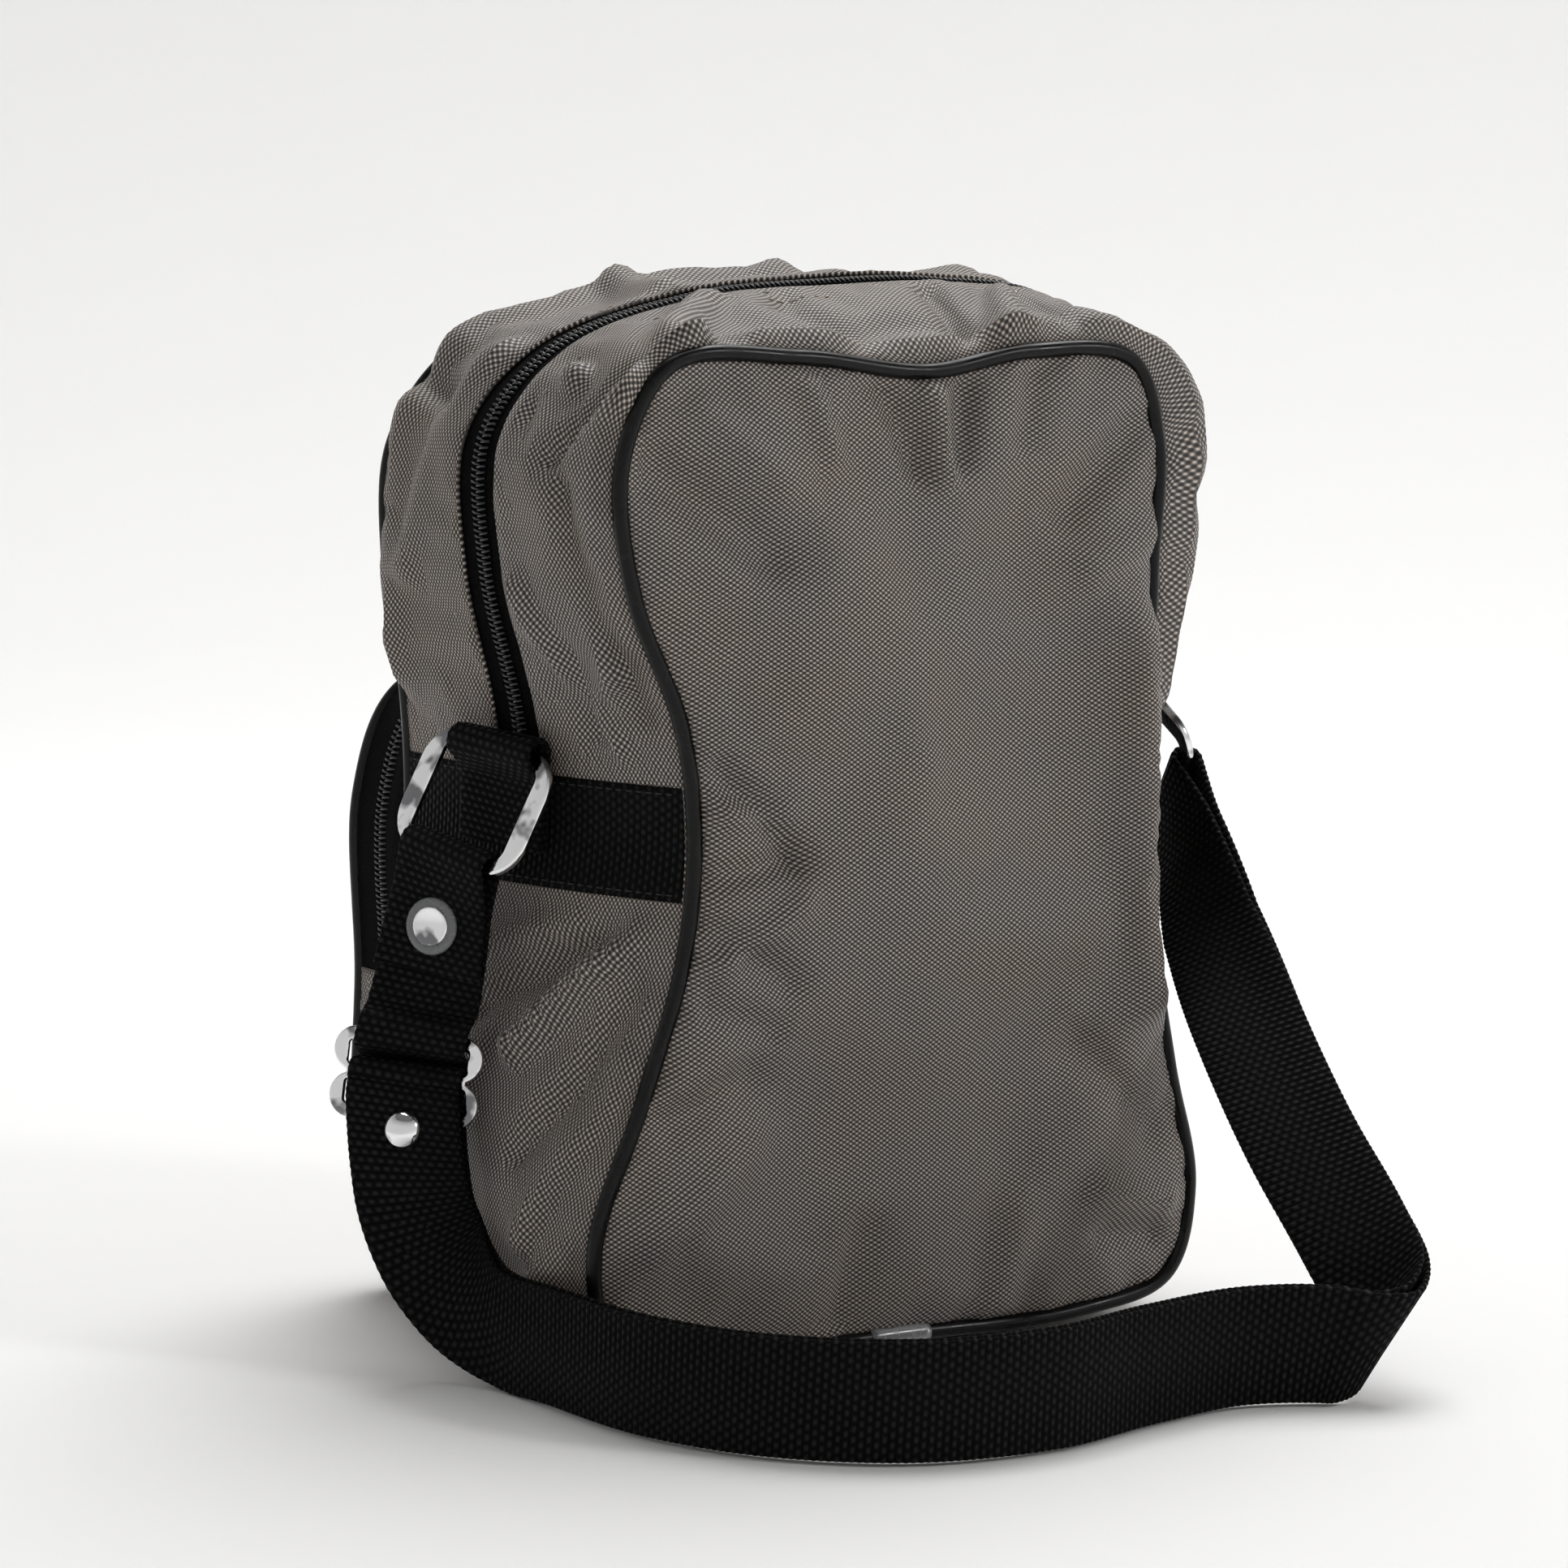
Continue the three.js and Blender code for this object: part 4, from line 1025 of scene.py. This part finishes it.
def add_panel(name, outline, corners, plane, side, crown, folds, seed):
    """A crowned panel that fills an outline, its rim tucked under the piping."""
    flat = np.array(outline, float)
    centre = flat.mean(0)
    reach = np.linalg.norm(flat - centre, axis=1, keepdims=True)
    tucked = centre + (flat - centre) * (1 - PANEL_TUCK / reach)
    points, s, t = coons_grid(outline_curve(tucked), corners, *PANEL_GRID)
    place = np.stack([points[..., 0], np.zeros_like(s), points[..., 2]], -1)
    height, rim = panel_height(s, t, place, centre, crown, folds, seed)
    points[..., 1] = plane + side * height
    piece = sheet_piece(name, points, points[..., 0], points[..., 2])
    relax(piece, seam_fade(rim, 5), 0.012, 0.5 * side, 3.0)
    return finish_cloth(piece, name)


DEPTH_WAY = np.array([0.0, 1.0, 0.0])
PIPING_STEP = 1.6
PIPING_SIDES = 14
SLEEVE_HALF = 9
SLEEVE_SIDES = 20
SLEEVE_WALL = 0.45
BOTTOM_STATION_LENGTH = 60  # roughly, between the first two stations


def add_piping(name, outline, plane):
    """Vinyl piping round an outline, its ends inside a sleeve at the bottom."""
    line = outline_curve(outline).even(PIPING_STEP)[:-1]
    line[:, 1] = plane
    along = directions(line, closed=True)
    out = np.stack([-along[:, 2], np.zeros(len(line)), along[:, 0]], -1)
    uneven = 1 + 0.03 * np.array([noise.noise(Vector(p) / 14) for p in line])
    rows = swept(line, out, np.tile(DEPTH_WAY, (len(line), 1)), circle(PIPING_RADIUS, PIPING_SIDES))
    rows = line[:, None] + (rows - line[:, None]) * uneven[:, None, None]
    rows = np.concatenate([rows, rows[:1]])
    marks = np.arange(len(rows)) * PIPING_STEP
    piece = grid_piece(name, rows, marks, np.arange(PIPING_SIDES + 1), wrap=True)
    finish_piece(piece, VINYL, "bag", [name])
    add_sleeve(name + "_joint", outline, plane)


def add_sleeve(name, outline, plane):
    """A smoky sleeve over the ends of the piping, at the middle of the bottom."""
    curve = outline_curve(outline)
    across = np.linspace(-SLEEVE_HALF, SLEEVE_HALF, 13)
    stations = -across / BOTTOM_STATION_LENGTH
    heights = [curve.at(np.array([u / len(outline) % 1]))[0, 2] for u in stations]
    sleeve = np.array([(x, plane, z) for x, z in zip(across, heights)])
    flare = np.interp(np.abs(across), [0, SLEEVE_HALF - 1, SLEEVE_HALF], [1, 1, 0.93])
    up = np.tile([0.0, 0.0, 1.0], (len(sleeve), 1))
    section = circle(PIPING_RADIUS + SLEEVE_WALL, SLEEVE_SIDES)
    tube = swept(sleeve, up, np.tile(DEPTH_WAY, (len(sleeve), 1)), section)
    tube = sleeve[:, None] + (tube - sleeve[:, None]) * flare[:, None, None]
    piece = grid_piece(name, tube, across, np.arange(SLEEVE_SIDES + 1), wrap=True, caps=True)
    finish_piece(piece, SMOKE, "bag", [name])


def add_tape(name, surface, stations, depths, height, lift=None):
    """Zip tape at a height above the wall, raised further by lift of the depth."""
    rows = int((stations[1] - stations[0]) * 14)
    columns = max(5, int(abs(depths[1] - depths[0]) / 1.5))
    u, y = station_grid(stations, depths, rows, columns)
    point, out = surface(u, y)
    point = point + out * height
    if lift is not None:
        point = point + out * lift(y)[..., None]
    along = lengths_along(point[:, 0])[:, None] + 0 * y
    piece = sheet_piece(name, point, along, y)
    thicken(piece, TAPE_THICKNESS)
    return finish_piece(piece, FELT, "bag", [name])


TOOTH_PITCH = 1.55
TOOTH_WIRE = 0.42
TOOTH_REACH = 2.1
TOOTH_OFFSET = 1.35
TOOTH_RISE = 1.5
TOOTH_LEAN = 0.35
TOOTH_GRID = (7, 6)


def tooth_rows(centre, out, ahead, side):
    """One arched tooth of wire that reaches to one side of the coil's line and leans along it."""
    arch = np.linspace(-1, 1, TOOTH_GRID[0])
    reach = arch * TOOTH_REACH + side * TOOTH_OFFSET
    rise = TOOTH_RISE * np.sqrt(np.maximum(1 - (arch * 0.92) ** 2, 0))
    lean = side * arch * TOOTH_LEAN
    middle = centre + reach[:, None] * DEPTH_WAY + rise[:, None] * out + lean[:, None] * ahead
    second = unit(np.cross(directions(middle), ahead))
    return swept(middle, np.tile(ahead, (len(arch), 1)), second, circle(TOOTH_WIRE, TOOTH_GRID[1]))


def add_coil(name, surface, stations, y, height):
    """Zip coil: arched teeth of wire that lean to either side in turn."""
    line, outward = surface(np.linspace(*stations, 2400), y)
    line = line + outward * height
    marks = lengths_along(line)
    places = np.arange(TOOTH_PITCH, marks[-1] - TOOTH_PITCH, TOOTH_PITCH / 2)
    centre = resampled(places, marks, line)
    out = unit(resampled(places, marks, outward))
    ahead = unit(np.cross(np.tile(DEPTH_WAY, (len(places), 1)), out))
    teeth = [tooth_rows(centre[k], out[k], ahead[k], 1 if k % 2 else -1) for k in range(len(places))]
    quads, corners = grid_faces(*TOOTH_GRID, True, True)
    piece = repeated_piece(name, teeth, quads, [corners] * len(teeth))
    finish_piece(piece, COIL, "bag", [name])


def repeated_piece(name, shapes, quads, uv):
    """One piece from many grids of points with the same faces."""
    size = shapes[0].shape[0] * shapes[0].shape[1]
    faces = [[size * k + index for index in face] for k in range(len(shapes)) for face in quads]
    points = np.concatenate([shape.reshape(-1, 3) for shape in shapes])
    return new_piece(name, points, faces, np.concatenate(uv))


STITCH_SHARES = np.linspace(-0.5, 0.5, 6)
STITCH_GIRTH = np.array([0.25, 0.85, 1, 1, 0.85, 0.25])
STITCH_SIDES = 6


def drop_onto(tree, middle, out):
    """Moves points to the nearest of a mesh, and turns out into its normals there."""
    for k in range(len(middle)):
        hit, normal, _, _ = tree.find_nearest(Vector(middle[k] * MM))
        middle[k] = np.array(hit) / MM
        out[k] = np.array(normal) * (1 if np.dot(np.array(normal), out[k]) >= 0 else -1)


def stitch_rows(tree, middle, out, radius):
    """One short thread that dips into the cloth at both ends."""
    drop_onto(tree, middle, out)
    middle = middle + out * (0.16 - 0.9 * np.abs(STITCH_SHARES[:, None]) ** 2)
    side = unit(np.cross(directions(middle), out))
    section = circle(1, STITCH_SIDES)
    return middle[:, None] + radius * STITCH_GIRTH[:, None, None] * (
        section[None, :, :1] * side[:, None] + section[None, :, 1:] * out[:, None])


def add_stitches(name, cloth, lines, material, length=2.7, space=0.75, radius=0.24):
    """Threads of a length, a space apart, along lines of points on the cloth."""
    bpy.context.view_layer.update()
    tree = BVHTree.FromObject(cloth, bpy.context.evaluated_depsgraph_get())
    quads, corners = grid_faces(len(STITCH_SHARES), STITCH_SIDES, True, True)
    threads, uv = [], []
    for line, outward in lines:
        marks = lengths_along(line)
        for place in np.arange(length, marks[-1] - length, length + space):
            at = place + STITCH_SHARES * length
            out = unit(resampled(at, marks, outward))
            threads.append(stitch_rows(tree, resampled(at, marks, line), out, radius))
            uv.append(np.stack([at[corners[:, 0]], corners[:, 1]], -1))
    finish_piece(repeated_piece(name, threads, quads, uv), material, "bag")


def stitch_line(surface, stations, depths, height=0.0, count=500):
    """Points and outward directions from one station and depth to another."""
    point, out = surface(np.linspace(*stations, count), np.linspace(*depths, count))
    return point + out * height, out


def add_body():
    panel_corners = (2.3, 9.6, 14.5, 21.7)
    add_panel("back_panel", BACK_OUTLINE, panel_corners, -HALF_DEPTH, -1, PANEL_CROWN, BACK_FOLDS, 1)
    add_panel("front_panel", FRONT_OUTLINE, panel_corners, HALF_DEPTH, 1, FRONT_CROWN, [], 2)
    edge = HALF_DEPTH - SEAM_INSET
    zip_run = (LEFT_SEAM, RIGHT_SEAM)
    rear = add_gusset_piece("gusset_top_rear", zip_run, (-edge, -ZIP_STRIP_EDGE), 3)
    front = add_gusset_piece("gusset_top_front", zip_run, (ZIP_STRIP_EDGE, edge), 4)
    add_gusset_piece("gusset_lower", (RIGHT_SEAM, LEFT_SEAM + BODY_STATIONS), (-edge, edge), 5)
    add_piping("piping_back", BACK_OUTLINE, -HALF_DEPTH)
    add_piping("piping_front", FRONT_OUTLINE, HALF_DEPTH)
    sewn = (LEFT_SEAM + 0.5, RIGHT_SEAM - 0.5)
    for piece, sign in ((rear, -1), (front, 1)):
        depths = [sign * (ZIP_STRIP_EDGE + inset) for inset in ZIP_STITCH_INSETS]
        rows = [stitch_line(body, sewn, (y, y)) for y in depths]
        add_stitches(piece.name + "_stitching", piece, rows, TAUPE_THREAD)


def add_main_zip():
    run = (LEFT_SEAM, RIGHT_SEAM)
    reach = ZIP_STRIP_EDGE + 2.5
    add_tape("main_zip_tape_rear", body, run, (-reach, -0.4), -1.2)
    add_tape("main_zip_tape_front", body, run, (0.4, reach), -1.2)
    add_coil("main_zip_coil", body, (LEFT_SEAM + 0.4, RIGHT_SEAM - 0.4), 0, -1.0)


def add_side_bands():
    """The webbing sewn across each side, which holds the ring's tab."""
    for word, seam in (("left", LEFT_SEAM), ("right", RIGHT_SEAM)):
        name = f"side_band_{word}"
        depths = np.linspace(-HALF_DEPTH + 1.6, HALF_DEPTH - 1.6, 230)
        u = seam + np.linspace(-BAND_REACH, BAND_REACH, 14)
        y, station = np.meshgrid(depths, u, indexing="ij")
        point, out = body(station, y)
        rib = 0.1 * np.cos(2 * np.pi * y / RIB_PITCH)
        point = point + out * (BAND_HEIGHT + rib)[..., None]
        piece = sheet_piece(name, point, y, (station - seam) * WEBBING_WIDTH)
        thicken(piece, WEBBING_THICKNESS)
        finish_webbing(piece, "bag", name)
        edges = (seam - BAND_REACH + 0.06, seam + BAND_REACH - 0.06)
        rows = [stitch_line(body, (u, u), (-52, 52), 1.4, 200) for u in edges]
        add_stitches(name + "_stitching", piece, rows, BLACK_THREAD, 2.4, 0.9, 0.2)


POCKET_FOLDS = [
    ([-60, 150], [-30, 130], 8, -2), ([50, 160], [30, 130], 8, 1.8), ([-70, 40], [-40, 60], 8, 1.8)]
POCKET_CROWN = 6
POCKET_EDGE = POCKET_PLANE - SEAM_INSET


def add_pocket_gusset():
    """The cloth strip round the pocket's sides and bottom, below its zip."""
    stations = (POCKET_ZIP_END - 0.02, POCKET_ZIP_START + POCKET_STATIONS + 0.02)
    u, y = station_grid(stations, (POCKET_BACK, POCKET_EDGE), 130, 16)
    point, out = pocket(u, y)
    rim = np.minimum(y - POCKET_BACK, POCKET_EDGE - y)
    ends = np.minimum(u - stations[0], stations[1] - u)
    point = point + out * (ripple(point, 18, 1.6, 9) * seam_fade(rim, 8))[..., None]
    along = lengths_along(point[:, 8])[:, None] + 0 * y
    piece = sheet_piece("pocket_gusset_lower", point, along, y)
    relax(piece, seam_fade(rim, 5) * seam_fade(ends, 0.2), 0.015, 0.5, 2.5)
    return finish_cloth(piece, "pocket_gusset_lower")


def tape_swell(y):
    """The felt behind the pocket's zip stands out in a soft roll."""
    return 0.8 * np.sin(np.pi * np.clip((y - POCKET_BACK) / 13, 0, 1))


def add_pocket():
    corners = (1.8, 6.0, 10.0, 14.2)
    add_panel("pocket_front_panel", POCKET_OUTLINE, corners, POCKET_PLANE, 1, POCKET_CROWN, POCKET_FOLDS, 6)
    add_piping("pocket_piping", POCKET_OUTLINE, POCKET_PLANE)
    gusset = add_pocket_gusset()
    run = (POCKET_ZIP_START, POCKET_ZIP_END)
    add_tape("pocket_zip_tape_rear", pocket, run, (POCKET_BACK, POCKET_ZIP_Y - 1), -0.2, tape_swell)
    add_tape("pocket_zip_tape_front", pocket, run, (POCKET_ZIP_Y + 1, POCKET_EDGE), -0.2)
    add_coil("pocket_zip_coil", pocket, run, POCKET_ZIP_Y, -0.3)
    places = [POCKET_ZIP_START - inset for inset in POCKET_STITCH_INSETS]
    places += [POCKET_ZIP_END + inset for inset in POCKET_STITCH_INSETS]
    depths = (POCKET_BACK + 1, POCKET_EDGE - 2)
    rows = [stitch_line(pocket, (u, u), depths, count=60) for u in places]
    add_stitches("pocket_stitching", gusset, rows, TAUPE_THREAD)


# ---- Rings and their tabs ----
def add_tab(word):
    """Webbing folded over the ring's top bar; its two layers run down to the seam."""
    name = f"ring_tab_{word}"
    basis, hinge = TABS[word]["fold"], TABS[word]["hinge"]
    radius = TAB_LOOP_RADIUS + WEBBING_THICKNESS / 2
    angles = np.linspace(math.radians(-35), math.pi, 12)
    arc = [[radius * math.sin(a), radius * math.cos(a)] for a in angles]
    front = -radius + WEBBING_THICKNESS + 0.1
    profile = np.array([
        [-TAB_LENGTH, front], [-16, front], [-8, front + 0.2], [-4.6, 0.9], *arc, [-2, -radius],
        [-8, -radius - 0.1], [-TAB_LENGTH, -radius - 0.1]])
    centres = hinge + profile[:, :1] * basis[1] + profile[:, 1:] * basis[2]
    across = np.tile(basis[0], (len(centres), 1))
    piece, _, _ = webbing_piece(name, centres, across)
    finish_webbing(piece, "bag", name)


def add_ring(word):
    name = f"ring_{word}"
    width, height = RING_OPENING
    middle = (0, -(height + RING_BAR) / 2)
    outer = rounded_rectangle(width + 2 * RING_SIDE, height + 2 * RING_BAR, RING_CORNERS[0], middle)
    inner = rounded_rectangle(width, height, RING_CORNERS[1], middle)
    piece = plate_piece(name, [outer, inner], RING_PLATE, 0.9, swung_basis(word), TABS[word]["hinge"])
    finish_chrome(piece, f"{word}_ring", name)


# ---- Adjuster and rivets ----
def frame_at(distance):
    centre, across, normal = route_frame(distance)
    return np.array([across, np.cross(normal, across), normal]), centre


ADJUSTER_HALF = 20
LOBE_RADIUS = 6
NOTCH_ANGLE = 0.35
ADJUSTER_SLOTS = (-5.1, 5.1)


def adjuster_outline():
    """Two round lobes at each end, with a notch between them."""
    outline = []
    for side, turn in ((1, 0), (-1, math.pi)):
        for y in (-LOBE_RADIUS * side, LOBE_RADIUS * side):
            first = -math.pi / 2 + (NOTCH_ANGLE if y * side > 0 else 0)
            last = math.pi / 2 - (NOTCH_ANGLE if y * side < 0 else 0)
            for angle in np.linspace(first, last, 14) + turn:
                outline.append([side * (ADJUSTER_HALF - LOBE_RADIUS) + LOBE_RADIUS * math.cos(angle),
                                y + LOBE_RADIUS * math.sin(angle)])
    return outline


def add_adjuster():
    slots = [rounded_rectangle(32, 6.2, 1, (0, y)) for y in ADJUSTER_SLOTS]
    basis, centre = frame_at(ADJUSTER_DISTANCE)
    piece = plate_piece("adjuster", [adjuster_outline(), *slots], 2, 0.6, basis, centre)
    finish_chrome(piece, "bag", "adjuster")


def add_dome_rivet():
    """A domed rivet through the folded end of the strap beside the adjuster."""
    basis, centre = frame_at(ADJUSTER_DISTANCE + DOME_DISTANCE)
    top = FOLD_HEIGHT + WEBBING_THICKNESS / 2
    dome = [[0.01, top + 2.9], [1.2, top + 2.85], [2.4, top + 2.5], [3.6, top + 1.9], [4.5, top + 1.1],
            [5.0, top + 0.4], [4.9, top], [1.6, top - 0.2], [1.6, -1], [3.6, -1.2], [3.4, -2.0],
            [0.01, -2.1]]
    piece = turned_piece("adjuster_rivet", dome, basis, centre)
    finish_chrome(piece, "bag", "adjuster_rivet")


def add_end_rivet():
    """A capped rivet through the strap's left end, with a smoky washer on each side."""
    end, end_across, _ = route_frame(distance_of_station(LEG_END_STATION))
    bar = ring_bar_centre("left")
    down = unit(end - bar)
    across = unit(TABS["left"]["basis"][0] * 0.5 + end_across * 0.5)
    normal = unit(np.cross(down, across))
    basis = np.array([across, np.cross(normal, across), normal])
    centre = (bar + end) / 2
    face = HALF_PITCH + WEBBING_THICKNESS / 2
    for word, base in (("outer", face), ("inner", -face - 1.2)):
        ring = [[4.6, base], [7.2, base], [7.5, base + 0.3], [7.5, base + 0.8], [7.1, base + 1.15],
                [5.4, base + 1.2], [4.7, base + 0.9]]
        washer = turned_piece(f"end_washer_{word}", ring, basis, centre)
        finish_piece(washer, SMOKE, "left_ring", [f"end_washer_{word}"])
    cap = [[0.01, face + 1.45], [4.1, face + 1.45], [4.6, face + 1.65], [5.0, face + 1.6],
           [5.15, face + 1.2], [5.0, face + 0.7], [1.7, face + 0.4], [1.7, -face - 0.5],
           [3.8, -face - 1.1], [3.8, -face - 1.9], [0.01, -face - 2.0]]
    piece = turned_piece("end_rivet", cap, basis, centre)
    finish_chrome(piece, "left_ring", "end_rivet")


# ---- Zip sliders and pulls ----
SLIDER_OUTLINE = [
    [-5, -6], [-3.4, -6.4], [3.4, -6.4], [5, -6], [5.4, 0], [4.4, 5], [1.6, 6.4], [0, 5.4],
    [-1.6, 6.4], [-4.4, 5], [-5.4, 0]]
SLIDER_HEIGHT = 2.6
EYE_HEIGHT = 5
EYE_RADII = (2.4, 1.3)
PULL_TIP_RADIUS = 4


def eye_outlines():
    """The slider's eye: an arch on a foot, and the hole through it."""
    outer, inner = EYE_RADII
    arch = [[-outer * math.cos(a), outer * math.sin(a)] for a in np.linspace(0, math.pi, 16)]
    around = np.linspace(0, 2 * math.pi, 20, endpoint=False)
    hole = [[inner * math.cos(a), inner * math.sin(a)] for a in around]
    return [[[-outer, -2.0], *arch, [outer, -2.0]][::-1], hole]


def pull_outlines(length):
    """The pull tab, hanging from its top, and the slot through it."""
    tip = [[PULL_TIP_RADIUS * math.sin(a), PULL_TIP_RADIUS - length - PULL_TIP_RADIUS * math.cos(a)]
           for a in np.linspace(-1.45, 1.45, 15)]
    return [[[-2.8, 0.7], [2.8, 0.7], *tip[::-1]], rounded_rectangle(3.6, 4.6, 0.8, (0, -3))]


def add_slider(name, body_word, surface, y, start, end, pull_length):
    """A slider with its eye, and the pull that hangs from it. The CAD model fixes where they are."""
    origin, outward = surface(start, y)
    up = unit(surface(end, y)[0] - origin)
    out = unit(outward - up * (outward @ up))
    side = np.cross(up, out)
    flat = np.array([side, up, out])
    upright = np.array([up, out, side])
    rounded = Curve([(a, b, 0) for a, b in SLIDER_OUTLINE], closed=True)
    outline = rounded.at(np.linspace(0, 1, 48, endpoint=False))[:, :2]
    shell = plate_piece(f"{name}_slider", [outline], 2.2, 0.7, flat, origin + out * SLIDER_HEIGHT)
    finish_chrome(shell, f"{body_word}_slider", f"{name}_slider")
    hinge = origin + out * EYE_HEIGHT
    eye = plate_piece(f"{name}_slider_eye", eye_outlines(), 2.2, 0.4, upright, hinge)
    finish_chrome(eye, f"{body_word}_slider")
    pull = plate_piece(f"{name}_pull", pull_outlines(pull_length), 1.2, 0.35, flat, hinge)
    finish_chrome(pull, f"{body_word}_pull", f"{name}_pull")


add_body()
add_main_zip()
add_side_bands()
add_pocket()
for ring_word in ("left", "right"):
    add_tab(ring_word)
    add_ring(ring_word)
add_adjuster()
add_dome_rivet()
add_end_rivet()
add_slider("main_zip", "main", body, 0, 16.2, 15, 22)
add_slider("pocket_zip", "pocket", pocket, POCKET_ZIP_Y, 11.8, 11.15, 20)

add_light("top_light", (0.7, 0.7, 2.4), (0.1, 0, 0), 2.0, 60)
add_light("key_light", (1.3, -1.7, 1.3), (0, 0, 0.12), 0.45, 11.5)
bpy.context.scene.view_settings.view_transform = "Standard"
